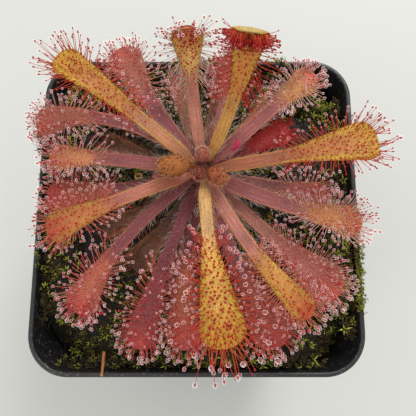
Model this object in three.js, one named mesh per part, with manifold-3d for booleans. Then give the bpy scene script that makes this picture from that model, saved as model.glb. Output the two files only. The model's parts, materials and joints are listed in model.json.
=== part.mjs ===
// A sundew in a square nursery pot, as a three.js scene graph in millimetres, +Z up.
// The origin is the middle of the pot's underside, on the surface that the pot stands on.
// +Y points to the back of the pot and +X to its right.
// Every leaf, the stem, the soil, each moss cushion and the pot is one closed solid of its own.

import * as THREE from "three";
import { mergeVertices } from "three/addons/utils/BufferGeometryUtils.js";
import Module from "manifold-3d";

const wasm = await Module();
wasm.setup();

// ---------------------------------------------------------------- driving dimensions, in mm and degrees

const GAP = 0.3; // kept between neighbours that touch

const POT_HEIGHT = 70;
const RIM_HALF = 40; // half of the rim's outer width
const RIM_CORNER = 9.9; // corner radius of the rim
const RIM_TOP = 1.1; // width of the rim's top face
const SKIRT_DEPTH = 8; // how far the rim's outer skirt hangs down
const FOLD = 1.6; // thickness of the fold that joins the wall and the skirt at the top
const SOFTEN = 0.4; // how far the rim's top edge is rounded off
const WALL = 0.8;
const FLOOR = 2.4; // thickness of the pot's floor
const FOOT_HALF = 29; // half of the width at the foot
const FOOT_CORNER = 7;
const CORNER_STEPS = 9; // straight facets in each rounded corner

const ROUND_SIDES = 20; // facets round a hole and round the stem's well
const HOLE_RADIUS = 4; // drainage holes, one near each corner
const HOLE_OFFSET = 18;
const GROOVE_WIDTH = 6; // grooves under the floor that drain the holes
const GROOVE_DEPTH = 1.2;

const CROWN = new THREE.Vector2(1.6, 8.0); // the stem's place in the pot
const CROWN_TOP = POT_HEIGHT + 8.5; // height at which the youngest open leaves leave the stem
const STEM_CAP = 0.6; // how far the stem's tip stands above that
const LEVEL_STEP = 1.45; // each older whorl leaves the stem this much lower
const STEM_RADIUS = 1.8;
const LEAF_START = STEM_RADIUS + 0.4; // distance of a petiole's foot from the stem's axis
const STEM_DEPTH = 9; // how far the stem goes into the soil
const STEM_SIDES = 14;

const SOIL_LEVEL = POT_HEIGHT - 4.5;
const SOIL_MOUND = 1.6; // rise of the soil around the stem
const SOIL_MOUND_RADIUS = 15;
const STEM_FOOT = SOIL_LEVEL + SOIL_MOUND - STEM_DEPTH;
const SOIL_RIPPLE = 0.45; // height of its soft waves
const SOIL_HOLLOWS = [
  // [x, y, depth, radius]
  [-36, -37, 8, 10],
  [37, -36, 8, 10],
  [37, 36, 5, 8],
];
const SOIL_SIDES = 8; // parts of each straight side of the soil
const SOIL_RINGS = [1, 0.9, 0.78, 0.64, 0.5, 0.36, 0.22, 0.1];

const PETIOLE_THICK = 0.9;
const BLADE_THICK = 0.8;
const BASE_WIDTH = 1.3; // a petiole's width where it leaves the stem
const BASE_TAPER = 6; // length over which it reaches its full width
const ROUND_END = 0.55; // length of a blade's round end, as a share of the blade's width
const END_POWER = 2.2; // 2 makes that end an ellipse, more makes it blunter
const SPREAD_POWER = 1.15; // 1 widens the blade in a straight line, more leaves it slim for longer

const UP = new THREE.Vector3(0, 0, 1);
const rad = THREE.MathUtils.degToRad;
const smooth = THREE.MathUtils.smoothstep;
const mix = THREE.MathUtils.lerp;

// ---------------------------------------------------------------- materials

const material = (color, roughness) =>
  new THREE.MeshStandardMaterial({ color, roughness, metalness: 0 });

const LOOKS = {
  gold: material(0xcf9a45, 0.45),
  pink: material(0xb5675c, 0.5),
  mauve: material(0x94545a, 0.5),
  maroon: material(0x6d2c30, 0.5),
  dry: material(0x90583c, 0.85),
  bud: material(0xb9713f, 0.8),
  stem: material(0x5c2a20, 0.85),
  soil: material(0x2c241a, 0.95),
  moss: material(0x5d5d28, 0.9),
  pot: material(0x1b1b1d, 0.45),
};

// ---------------------------------------------------------------- building closed solids

// Skins a list of rings, each with the same number of points, and closes both ends with a fan.
function skin(rings) {
  const count = rings[0].length;
  const points = rings.flat();
  const faces = [];
  for (let r = 0; r + 1 < rings.length; r++)
    for (let i = 0; i < count; i++) {
      const a = r * count + i;
      const b = r * count + ((i + 1) % count);
      faces.push(a, b, a + count, b, b + count, a + count);
    }
  const middle = (ring) =>
    ring.reduce((sum, p) => sum.add(p), new THREE.Vector3()).divideScalar(count);
  const first = points.push(middle(rings[0])) - 1;
  const last = points.push(middle(rings.at(-1))) - 1;
  const end = (rings.length - 1) * count;
  for (let i = 0; i < count; i++) {
    const next = (i + 1) % count;
    faces.push(first, next, i, last, end + i, end + next);
  }
  const geometry = new THREE.BufferGeometry().setFromPoints(points);
  geometry.setIndex(faces);
  return geometry;
}

function toSolid(geometry) {
  const bare = new THREE.BufferGeometry();
  bare.setAttribute("position", geometry.getAttribute("position"));
  if (geometry.index) bare.setIndex(geometry.index);
  const merged = mergeVertices(bare, 1e-4);
  return new wasm.Manifold(
    new wasm.Mesh({
      numProp: 3,
      vertProperties: merged.attributes.position.array,
      triVerts: new Uint32Array(merged.index.array),
    }),
  );
}

function toGeometry(solid) {
  const mesh = solid.getMesh();
  const geometry = new THREE.BufferGeometry();
  geometry.setAttribute("position", new THREE.BufferAttribute(mesh.vertProperties, 3));
  geometry.setIndex(new THREE.BufferAttribute(mesh.triVerts, 1));
  geometry.computeVertexNormals();
  return geometry;
}

const sundew = new THREE.Group();
sundew.name = "potted_sundew";

function addPiece(name, geometry, look) {
  const mesh = new THREE.Mesh(geometry, look);
  mesh.name = name;
  sundew.add(mesh);
  return mesh;
}

// ---------------------------------------------------------------- pot

// A level square ring with round corners, counter-clockwise, its straight sides cut in equal parts.
function squareRing(half, radius, z, sideParts = 1) {
  const ring = [];
  const centre = half - radius;
  for (let corner = 0; corner < 4; corner++) {
    const turn = (x, y) => new THREE.Vector3(x, y, z).applyAxisAngle(UP, (corner * Math.PI) / 2);
    for (let i = 0; i <= CORNER_STEPS; i++) {
      const angle = rad((90 * i) / CORNER_STEPS);
      ring.push(turn(centre + radius * Math.cos(angle), centre + radius * Math.sin(angle)));
    }
    for (let i = 1; i < sideParts; i++) ring.push(turn(centre * (1 - (2 * i) / sideParts), half));
  }
  return ring;
}

// The wall tapers evenly from the foot to the rim.
const INNER_TOP = RIM_HALF - RIM_TOP;
const innerHalf = (z) => mix(FOOT_HALF - WALL, INNER_TOP, z / POT_HEIGHT);
const wallCorner = (z) => mix(FOOT_CORNER, RIM_CORNER - RIM_TOP, z / POT_HEIGHT);

function makePot() {
  const skirtFoot = POT_HEIGHT - SKIRT_DEPTH;
  const shoulder = POT_HEIGHT - FOLD;
  const lip = POT_HEIGHT - 2 * SOFTEN;
  const skirtInner = RIM_HALF - WALL;
  const wallOuter = (z) => innerHalf(z) + WALL;
  const rings = [
    // outside, from the foot up to the fold
    squareRing(FOOT_HALF - SOFTEN, FOOT_CORNER - SOFTEN, 0),
    squareRing(wallOuter(WALL), FOOT_CORNER, WALL),
    squareRing(wallOuter(skirtFoot), wallCorner(skirtFoot) + WALL, skirtFoot),
    squareRing(wallOuter(shoulder) - SOFTEN, wallCorner(shoulder) + WALL, shoulder),
    // inside of the skirt, its lower edge and its outside
    squareRing(skirtInner, RIM_CORNER - WALL, shoulder),
    squareRing(skirtInner - SOFTEN / 2, RIM_CORNER - WALL, skirtFoot),
    squareRing(RIM_HALF - SOFTEN, RIM_CORNER, skirtFoot),
    squareRing(RIM_HALF, RIM_CORNER, lip),
    // top of the rim, then down the inside to the floor
    squareRing(RIM_HALF - SOFTEN, RIM_CORNER - SOFTEN, POT_HEIGHT),
    squareRing(INNER_TOP + SOFTEN / 2, RIM_CORNER - RIM_TOP + SOFTEN / 2, POT_HEIGHT),
    squareRing(innerHalf(lip), wallCorner(POT_HEIGHT), lip),
    squareRing(innerHalf(FLOOR + 1), wallCorner(FLOOR), FLOOR + 1),
    squareRing(innerHalf(FLOOR) - 1, wallCorner(FLOOR) - 1, FLOOR),
  ];
  let pot = toSolid(skin(rings));
  for (const sx of [-1, 1])
    for (const sy of [-1, 1]) {
      const hole = new THREE.CylinderGeometry(HOLE_RADIUS, HOLE_RADIUS, 4 * FLOOR, ROUND_SIDES);
      hole.rotateX(Math.PI / 2);
      hole.translate(sx * HOLE_OFFSET, sy * HOLE_OFFSET, 0);
      const groove = new THREE.BoxGeometry(2 * HOLE_OFFSET, GROOVE_WIDTH, 2 * GROOVE_DEPTH);
      groove.translate(HOLE_OFFSET, 0, 0);
      groove.rotateZ(Math.atan2(sy, sx));
      groove.translate(sx * HOLE_OFFSET, sy * HOLE_OFFSET, 0);
      pot = pot.subtract(toSolid(hole)).subtract(toSolid(groove));
    }
  addPiece("pot", toGeometry(pot), LOOKS.pot);
}

// ---------------------------------------------------------------- soil

// Height of the soil: a mound at the stem, hollows in three corners and a soft ripple.
function soilHeight(x, y) {
  const away = Math.hypot(x - CROWN.x, y - CROWN.y) / SOIL_MOUND_RADIUS;
  const wave = Math.sin(0.42 * x + 1.3) * Math.cos(0.37 * y) + 0.5 * Math.sin(0.9 * y - 0.5 * x);
  let height = SOIL_LEVEL + SOIL_MOUND * Math.exp(-away * away) + SOIL_RIPPLE * wave;
  for (const [hollowX, hollowY, depth, radius] of SOIL_HOLLOWS) {
    const near = Math.hypot(x - hollowX, y - hollowY) / radius;
    height -= depth * Math.exp(-near * near);
  }
  return height;
}

// The soil's surface ring at a share of the way from the pot's axis to its wall.
function soilRing(share) {
  return squareRing(innerHalf(SOIL_LEVEL), wallCorner(SOIL_LEVEL), 0, SOIL_SIDES).map((p, i) => {
    const height = soilHeight(share * p.x, share * p.y);
    const edge = squareRing(innerHalf(height) - GAP, wallCorner(height), 0, SOIL_SIDES)[i];
    return new THREE.Vector3(share * edge.x, share * edge.y, height);
  });
}

function soilSolid() {
  const foot = FLOOR + GAP;
  const rings = [
    squareRing(innerHalf(foot) - 1 - GAP, wallCorner(foot) - 1, foot, SOIL_SIDES),
    squareRing(innerHalf(foot + 1) - GAP, wallCorner(foot), foot + 1, SOIL_SIDES),
    ...SOIL_RINGS.map(soilRing),
  ];
  const wide = STEM_RADIUS + GAP;
  const deep = 2 * STEM_DEPTH;
  const well = new THREE.CylinderGeometry(wide, wide, deep, ROUND_SIDES);
  well.rotateX(Math.PI / 2);
  well.translate(CROWN.x, CROWN.y, STEM_FOOT - GAP + deep / 2);
  return toSolid(skin(rings)).subtract(toSolid(well));
}

// ---------------------------------------------------------------- moss

// [name, x, y, half length, half width, turn, height of its crest above the rim]
const MOSS_ROWS = [
  ["moss_rim_left", -38.6, 18.7, 6.4, 4.2, 90, 1.7],
  ["moss_back_left", -28, 30.5, 7.6, 5.6, 25, -1.2],
  ["moss_back", -11, 27.4, 7.2, 5.6, 0, -1.4],
  ["moss_rim_back", 2.2, 38.4, 15.5, 3.5, 0, 1.5],
  ["moss_back_right", 27, 31.5, 7.6, 4.6, -15, -1.4],
  ["moss_right", 34, -12, 14, 4.6, 90, -0.8],
  ["moss_front_right", 25.5, -31.5, 8.5, 5.6, 12, -1.4],
  ["moss_front", 4.4, -34, 12, 4.4, 0, -1.8],
  ["moss_front_left", -22.5, -29, 9, 6.2, -12, -2],
  ["moss_left", -33.6, -15, 13, 4.2, 90, -1.2],
];
const MOSS_RINGS = [0.35, 0.65, 0.87, 1];
const MOSS_SIDES = 20;
const MOSS_EDGE = 0.6; // thickness at a cushion's edge
const MOSS_ROOT = 2; // how far it is made too deep, before the soil is cut away
const CLEAR_DEPTH = 20; // how far below the soil that cut reaches

// Everything that moss has to keep clear of below the rim: the wall and what is outside it.
function wallZone() {
  const low = SOIL_LEVEL - CLEAR_DEPTH;
  const high = POT_HEIGHT + GAP;
  const outer = new THREE.BoxGeometry(4 * RIM_HALF, 4 * RIM_HALF, high - low);
  outer.translate(0, 0, (high + low) / 2);
  const inner = [low - 1, high + 1].map((z) => squareRing(innerHalf(z) - 2 * GAP, wallCorner(z), z));
  return toSolid(outer).subtract(toSolid(skin(inner)));
}

function makeMoss(soil) {
  const zone = wallZone().add(soil.translate(0, 0, GAP));
  for (const [name, x, y, halfLength, halfWidth, turn, crest] of MOSS_ROWS) {
    const rise = POT_HEIGHT + crest - soilHeight(x, y) - GAP - MOSS_EDGE;
    const ring = (share, lifted) => {
      const points = [];
      for (let i = 0; i < MOSS_SIDES; i++) {
        const angle = (2 * Math.PI * i) / MOSS_SIDES;
        const wobble = 1 + 0.07 * Math.sin(3 * angle + x) + 0.05 * Math.sin(5 * angle + y);
        const p = new THREE.Vector3(
          share * wobble * halfLength * Math.cos(angle),
          share * wobble * halfWidth * Math.sin(angle),
          0,
        ).applyAxisAngle(UP, rad(turn));
        p.add(new THREE.Vector3(x, y, 0));
        p.z = soilHeight(p.x, p.y) + GAP;
        p.z += lifted ? MOSS_EDGE + rise * (1 - share ** 2.4) ** 0.8 : -MOSS_ROOT;
        points.push(p);
      }
      return points;
    };
    const rings = [
      ...MOSS_RINGS.map((share) => ring(share, false)),
      ...MOSS_RINGS.toReversed().map((share) => ring(share, true)),
    ];
    const parts = toSolid(skin(rings)).subtract(zone).decompose();
    parts.sort((a, b) => b.volume() - a.volume());
    addPiece(name, toGeometry(parts[0].simplify(0.02)), LOOKS.moss);
  }
}

// ---------------------------------------------------------------- stem

function makeStem() {
  const top = CROWN_TOP + STEM_CAP;
  const profile = [
    [0, STEM_FOOT],
    [0.5 * STEM_RADIUS, STEM_FOOT],
    [0.9 * STEM_RADIUS, STEM_FOOT + 2.5],
    [STEM_RADIUS, SOIL_LEVEL],
    [STEM_RADIUS, CROWN_TOP - 1],
    [0.7 * STEM_RADIUS, top - 0.2],
    [0, top],
  ].map(([r, z]) => new THREE.Vector2(r, z));
  const geometry = new THREE.LatheGeometry(profile, STEM_SIDES);
  geometry.rotateX(Math.PI / 2);
  geometry.translate(CROWN.x, CROWN.y, 0);
  addPiece("stem", toGeometry(toSolid(geometry)), LOOKS.stem);
}

// ---------------------------------------------------------------- leaves

// Widens evenly from the petiole over most of the blade, then closes in a blunt round end.
function leafWidth(along, petioleWidth, leaf) {
  const shoulder = 1 - (ROUND_END * leaf.bladeWidth) / leaf.blade;
  const spread = THREE.MathUtils.clamp((along + 0.05) / (shoulder + 0.1), 0, 1);
  const past = THREE.MathUtils.clamp((along - shoulder) / (1 - shoulder), 0, 1);
  const close = (1 - past ** leaf.blunt) ** (1 / leaf.blunt);
  return close * mix(petioleWidth, leaf.bladeWidth, spread ** SPREAD_POWER);
}

// The leaf's midrib: a curve whose pitch and heading change steadily along its length.
// lift is the pitch at the stem, arch what the whole leaf adds to it, droop what the blade adds,
// and furl what the last part of the blade adds, as in a tip that is still rolled in.
function midrib(leaf, parts) {
  const length = leaf.petiole + leaf.blade;
  const heading = rad(leaf.heading);
  const at = new THREE.Vector3(
    CROWN.x + LEAF_START * Math.cos(heading),
    CROWN.y + LEAF_START * Math.sin(heading),
    CROWN_TOP - leaf.level * LEVEL_STEP,
  );
  const stations = [];
  for (let i = 0; i <= parts; i++) {
    const distance = (length * i) / parts;
    const share = distance / length;
    const along = Math.max(0, (distance - leaf.petiole) / leaf.blade);
    const pitch = rad(
      leaf.lift + leaf.arch * share + leaf.droop * along ** 2 + leaf.furl * along ** 6,
    );
    const yaw = heading + rad(leaf.swing) * share;
    const ahead = new THREE.Vector3(
      Math.cos(pitch) * Math.cos(yaw),
      Math.cos(pitch) * Math.sin(yaw),
      Math.sin(pitch),
    );
    const side = new THREE.Vector3(-Math.sin(yaw), Math.cos(yaw), 0);
    const up = new THREE.Vector3().crossVectors(ahead, side);
    stations.push({ at: at.clone(), side, up, distance, along });
    at.addScaledVector(ahead, length / parts);
  }
  return stations;
}

const LEAF_PARTS = 96; // steps along the midrib, of which the solid keeps some
const PETIOLE_RINGS = [0, 0.25, 0.6];
const BLADE_RINGS = [0, 0.16, 0.32, 0.48, 0.64, 0.78, 0.88, 0.95, 0.985];
const SECTION = 8; // corners of a leaf's cross-section

function leafSolid(leaf) {
  const stations = midrib(leaf, LEAF_PARTS);
  const length = leaf.petiole + leaf.blade;
  const wanted = [
    ...PETIOLE_RINGS.map((share) => share * leaf.petiole),
    ...BLADE_RINGS.map((share) => leaf.petiole + share * leaf.blade),
  ];
  const rings = wanted.map((distance) => {
    const s = stations[Math.round((distance / length) * LEAF_PARTS)];
    const taper = smooth(s.distance, 0, BASE_TAPER);
    const petiole = mix(BASE_WIDTH, leaf.petioleWidth, taper);
    const width = leafWidth((s.distance - leaf.petiole) / leaf.blade, petiole, leaf);
    const thick = mix(PETIOLE_THICK, BLADE_THICK, smooth(s.along, 0, 0.5));
    const ring = [];
    for (let i = 0; i < SECTION; i++) {
      const angle = (2 * Math.PI * i) / SECTION;
      ring.push(
        s.at
          .clone()
          .addScaledVector(s.side, (Math.cos(angle) * width) / 2)
          .addScaledVector(s.up, (Math.sin(angle) * thick) / 2),
      );
    }
    return ring;
  });
  return toSolid(skin(rings));
}

// [name, level, heading, lift, arch, droop, swing, petiole, blade, petiole width, blade width, look,
//  furl, bluntness of the end]
// Level 0 is the youngest whorl. Headings are anticlockwise from +X.
const LEAF_ROWS = [
  ["leaf_front", 0, -88, 32, -42, -25, 11, 17, 23.5, 2.8, 10, "gold"],
  ["leaf_back_left", 0, 146, 27, -15, -32, -3, 18.5, 21.5, 3.1, 7.2, "gold"],
  ["leaf_right", 0, 1, 22, -10, -35, 12, 18.5, 19.5, 3.2, 9.0, "gold", 0, 3],
  ["leaf_back_right", 0, 62.5, 22, 17, 4, 13, 17, 15.5, 3.0, 8.2, "gold", 135, 4],
  ["leaf_back", 1, 99, 9, 41, -13, -4, 20, 11, 2.9, 7.2, "pink", 60, 4],
  ["leaf_front_right", 1, -66, 16, -13, -32, 23, 22, 18, 3.1, 6.2, "gold"],
  ["leaf_left", 1, -156, 22, -27, -26, 0, 21.5, 15.5, 3.1, 7.3, "gold"],
  ["leaf_right_back", 1, 41, 12, -14, -7, 0, 22.5, 11, 3.3, 7.2, "mauve"],
  ["leaf_right_front", 2, -28, 8, -2, -26, 17, 23, 14, 3.8, 7.4, "mauve"],
  ["leaf_left_back", 2, 172, 10, -6, -25, 9, 23, 11.5, 3.3, 6.4, "mauve"],
  ["leaf_left_front", 2, -143, 11, -10, -39, 27, 27.5, 15, 3.0, 7.9, "maroon"],
  ["leaf_back_left_inner", 2, 132, 14, -16, -15, -17, 20.5, 15, 4.0, 8.7, "mauve"],
  ["leaf_front_left_inner", 3, -114, 9, -7, -32, 9, 23.5, 18.5, 2.9, 7.4, "maroon"],
  ["leaf_back_right_middle", 3, 73, 5, 1, -1, 4, 18.5, 11, 2.5, 6.6, "mauve"],
  ["leaf_right_red", 3, 30, 1, 0, -4, -4, 9.5, 12.5, 2.8, 6.6, "maroon"],
  ["leaf_back_left_low", 3, 133, 0, 11, -50, 67, 29, 15, 3.2, 8.0, "mauve"],
  ["leaf_front_left", 4, -104, 4, 1, -27, 17, 19, 21, 3.2, 8.2, "maroon"],
  ["leaf_front_right_outer", 4, -45, 7, -3, -24, 4, 22, 19, 3.2, 10.3, "pink"],
  ["leaf_left_low", 4, -168, 3, 2, -14, -7, 20.5, 15.5, 2.8, 7.6, "pink"],
  ["leaf_right_back_low", 4, 52, -4, 9, -4, -10, 16.5, 11.5, 2.9, 6.2, "dry"],
  ["leaf_front_right_inner", 5, -73, 2, 5, -21, 15, 24, 18.5, 3.2, 10.4, "pink"],
  ["leaf_right_low", 5, -7, 1, 4, -14, -7, 17.5, 11.5, 3.0, 6.4, "maroon"],
  ["leaf_back_right_low", 5, 83, 2, 0, 2, -9, 16.5, 12, 3.0, 6.2, "dry"],
  ["leaf_back_low", 6, 108, 1, -2, 4, -6, 17.5, 9, 2.9, 5.4, "dry"],
  ["leaf_left_stub", 3, -172, 14, 0, 0, 0, 5.5, 5, 1.5, 1.8, "maroon"],
  ["dead_leaf_front_left", 6, -128, 0, 0, -8, 4, 13, 13.5, 2.4, 7.2, "dry"],
  ["dead_leaf_left", 7, -149, 1, 0, -4, -6, 13, 13.5, 2.4, 5.6, "dry"],
  ["dead_leaf_front", 7, -109, 0, 0, -6, 6, 14.5, 13.5, 2.4, 6.4, "dry"],
  ["dead_leaf_back_left", 6, 158, 4, 0, 0, 6, 12, 13.5, 2.2, 5.6, "dry"],
];

function makeLeaves() {
  for (const row of LEAF_ROWS) {
    const [name, level, heading, lift, arch, droop, swing, petiole, blade, ...rest] = row;
    const [petioleWidth, bladeWidth, look, furl = 0, blunt = END_POWER] = rest;
    const curve = { level, heading, lift, arch, droop, swing, petiole, blade, furl };
    const solid = leafSolid({ ...curve, petioleWidth, bladeWidth, blunt });
    addPiece(name, toGeometry(solid), LOOKS[look]);
  }
}

// ---------------------------------------------------------------- young leaves

// [name, heading, lift, arch, stalk, head, radius of the head, look]
// They are still rolled up, each a soft ball on a short stalk that stands on the stem's top.
const BUD_ROWS = [
  ["young_leaf_left", -172, 60, -70, 3.2, 8, 2.1, "bud"],
  ["young_leaf_right", -43, 62, -55, 2.2, 4.9, 2.15, "bud"],
  ["young_leaf_back", 93, 82, -35, 1.4, 3.4, 1.6, "bud"],
  ["young_leaf_front", -108, 75, -40, 1.6, 3, 1.25, "maroon"],
];
const BUD_FOOT = 0.9; // distance of a stalk's foot from the stem's axis
const BUD_STALK = 0.42; // radius of a stalk
const BUD_SIDES = 10;
const BUD_PARTS = 120;
const BUD_RINGS = [-1, 0, 0.06, 0.17, 0.32, 0.5, 0.68, 0.83, 0.94, 1]; // -1 is the foot, 0 to 1 the head
const BUD_TIP = 0.3; // radius of a head's last ring, as a share of the head's
const BUD_CLEAR = 0.2; // room between a stalk's foot and the stem's tip, beside the gap

function makeBuds() {
  for (const [name, heading, lift, arch, stalk, head, radius, look] of BUD_ROWS) {
    const curve = { level: 0, heading, lift, arch, droop: 0, swing: 0, furl: 0 };
    const stations = midrib({ ...curve, petiole: stalk, blade: head }, BUD_PARTS);
    const yaw = rad(heading);
    const shift = new THREE.Vector3(Math.cos(yaw), Math.sin(yaw), 0);
    shift.multiplyScalar(BUD_FOOT - LEAF_START);
    shift.z = STEM_CAP + GAP + BUD_CLEAR;
    const rings = BUD_RINGS.map((share) => {
      const distance = share < 0 ? (1 + share) * stalk : stalk + share * head;
      const s = stations[Math.round((distance / (stalk + head)) * BUD_PARTS)];
      const swell = radius * Math.sqrt(Math.max(0, 1 - (2 * s.along - 1) ** 2));
      const size = share === 1 ? BUD_TIP * radius : Math.max(BUD_STALK, swell);
      const ring = [];
      for (let i = 0; i < BUD_SIDES; i++) {
        const angle = (2 * Math.PI * i) / BUD_SIDES;
        ring.push(
          s.at
            .clone()
            .add(shift)
            .addScaledVector(s.side, size * Math.cos(angle))
            .addScaledVector(s.up, size * Math.sin(angle)),
        );
      }
      return ring;
    });
    addPiece(name, toGeometry(toSolid(skin(rings))), LOOKS[look]);
  }
}

// ---------------------------------------------------------------- bits on the soil

// A round stick between two points, [x, y, z] each.
function stick(from, to, radius) {
  const a = new THREE.Vector3(...from);
  const b = new THREE.Vector3(...to);
  const geometry = new THREE.CylinderGeometry(0.8 * radius, radius, a.distanceTo(b), 10);
  geometry.applyQuaternion(
    new THREE.Quaternion().setFromUnitVectors(
      new THREE.Vector3(0, 1, 0),
      b.clone().sub(a).normalize(),
    ),
  );
  geometry.translate(...a.add(b).multiplyScalar(0.5).toArray());
  return toGeometry(toSolid(geometry));
}

// [name, from, to, radius]
const STICK_ROWS = [
  ["dry_stalk", [21.6, 18.4, 66.8], [24.4, 25.2, 73], 0.75],
  ["twig", [-22, -34.4, 69], [-21.8, -39.5, 71.3], 0.35],
];
const HUSK = { x: -15.4, y: 9.2, turn: 70, size: [1.3, 0.8, 0.7], lift: 1.4 };

function makeBits() {
  for (const [name, from, to, radius] of STICK_ROWS)
    addPiece(name, stick(from, to, radius), LOOKS.dry);
  const husk = new THREE.SphereGeometry(1, 14, 10);
  husk.scale(...HUSK.size);
  husk.rotateZ(rad(HUSK.turn));
  husk.translate(HUSK.x, HUSK.y, soilHeight(HUSK.x, HUSK.y) + HUSK.lift);
  addPiece("seed_husk", toGeometry(toSolid(husk)), LOOKS.dry);
}

makePot();
const soil = soilSolid();
addPiece("soil", toGeometry(soil), LOOKS.soil);
makeMoss(soil);
makeStem();
makeLeaves();
makeBuds();
makeBits();

export default sundew;
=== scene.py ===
# %% [markdown]
# # A sundew in a square pot
# The plant is a rosette of spoon-shaped leaves on long petioles. Every blade is set with tentacles,
# and each tentacle ends in a red gland inside a clear drop of sticky dew.
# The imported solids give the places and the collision. This file makes the fine surfaces round them.
# Lengths are in millimetres until a mesh is written, and +Z is up.

import json
import math

import bpy
import numpy as np
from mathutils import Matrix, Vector

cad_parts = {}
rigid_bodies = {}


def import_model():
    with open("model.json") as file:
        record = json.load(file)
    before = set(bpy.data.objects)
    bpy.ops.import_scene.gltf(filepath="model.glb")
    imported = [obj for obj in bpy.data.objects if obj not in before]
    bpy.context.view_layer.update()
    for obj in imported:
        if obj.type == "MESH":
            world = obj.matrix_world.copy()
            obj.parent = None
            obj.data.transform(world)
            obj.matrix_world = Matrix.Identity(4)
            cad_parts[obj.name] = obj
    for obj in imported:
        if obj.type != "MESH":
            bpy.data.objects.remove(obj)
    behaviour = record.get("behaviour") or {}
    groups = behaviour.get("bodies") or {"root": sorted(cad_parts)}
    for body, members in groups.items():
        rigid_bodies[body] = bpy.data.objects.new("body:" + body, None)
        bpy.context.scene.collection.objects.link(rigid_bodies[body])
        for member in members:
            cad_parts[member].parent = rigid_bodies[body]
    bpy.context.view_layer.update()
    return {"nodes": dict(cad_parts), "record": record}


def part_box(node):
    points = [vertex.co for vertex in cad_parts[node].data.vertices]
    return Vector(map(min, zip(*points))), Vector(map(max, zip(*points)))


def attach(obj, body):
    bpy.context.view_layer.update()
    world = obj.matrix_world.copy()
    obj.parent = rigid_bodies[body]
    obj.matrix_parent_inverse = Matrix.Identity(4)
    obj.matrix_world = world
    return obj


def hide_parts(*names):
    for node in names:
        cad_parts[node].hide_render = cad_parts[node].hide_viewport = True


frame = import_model()
MM = 0.001
print("solids in the frame:", len(frame["nodes"]))

# %% [markdown]
# ## Camera
# The view is from almost straight above, a hand's width over the crown, as one looks down on a pot that
# stands on a table. A close camera shows perspective: high leaves look larger than the pot under them.
# The camera could be aimed by a constraint, but a direction turned into angles needs nothing more.

# %% Camera
POT_HEIGHT = 70.0
# The elevation was chosen. Distance, aim and lens are the rounded result of a least-squares fit to the rim.
ELEVATION = math.radians(79)
DISTANCE = 113.1
AIM = np.array([2.68, 0.17, POT_HEIGHT])

camera_data = bpy.data.cameras.new("camera")
camera_data.lens = 39.24
camera_data.sensor_width = 36
camera_data.clip_start = 0.005
camera = bpy.data.objects.new("camera", camera_data)
toward = np.array([0, math.cos(ELEVATION), -math.sin(ELEVATION)])
camera.location = Vector((AIM - DISTANCE * toward) * MM)
camera.rotation_euler = Vector(toward).to_track_quat("-Z", "Y").to_euler()
bpy.context.scene.collection.objects.link(camera)
bpy.context.scene.camera = camera
print("camera at", [round(x, 4) for x in camera.location])

# %% [markdown]
# ## Light and floor
# The plant stands on a pale table in soft daylight. The sky could be a picture, but an even pale world with
# one wide panel is enough: the panel gives each drop a bright spot, and the world fills the shade.

# %% Light
world = bpy.data.worlds.new("daylight")
world.use_nodes = True
world.node_tree.nodes["Background"].inputs["Color"].default_value = (1.0, 1.0, 0.98, 1)
world.node_tree.nodes["Background"].inputs["Strength"].default_value = 0.73
bpy.context.scene.world = world


def area_light(name, place, size, power, colour):
    """A square lamp at a place in millimetres, turned towards the crown."""
    data = bpy.data.lights.new(name, "AREA")
    data.size = size * MM
    data.energy = power
    data.color = colour
    lamp = bpy.data.objects.new(name, data)
    lamp.location = Vector(place) * MM
    aim = Vector((0, 5, POT_HEIGHT)) * MM - lamp.location
    lamp.rotation_euler = aim.to_track_quat("-Z", "Y").to_euler()
    bpy.context.scene.collection.objects.link(lamp)
    return lamp


area_light("window", (225, 540, 620), 290, 2.6, (1.0, 0.99, 0.97))
area_light("room", (-420, -260, 520), 160, 0.25, (0.95, 0.98, 1.0))
bpy.context.scene.view_settings.view_transform = "Standard"
print("two soft lamps and a pale world")

# %% [markdown]
# ## Shader maths
# A finish is easier to read as a formula than as a list of nodes and links. A small class wraps a socket,
# and its operators add the Math nodes. Any other node comes from one method of the graph.

# %% Shader maths


class Value:
    """A number or colour that flows through a material, with the operators of arithmetic."""

    def __init__(self, graph, socket):
        self.graph = graph
        self.socket = socket

    def math(self, operation, *others):
        inputs = dict(enumerate((self, *others)))
        return self.graph.node("ShaderNodeMath", {"operation": operation}, inputs)

    def __add__(self, other):
        return self.math("ADD", other)

    def __mul__(self, other):
        return self.math("MULTIPLY", other)

    def __sub__(self, other):
        return self.math("SUBTRACT", other)

    def __rsub__(self, other):
        return self.math("MULTIPLY_ADD", -1.0, other)

    __radd__ = __add__
    __rmul__ = __mul__

    def step(self, low, high):
        """A smooth rise from 0 at low to 1 at high."""
        settings = {"interpolation_type": "SMOOTHSTEP"}
        return self.graph.node("ShaderNodeMapRange", settings, {0: self, 1: low, 2: high})


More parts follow.
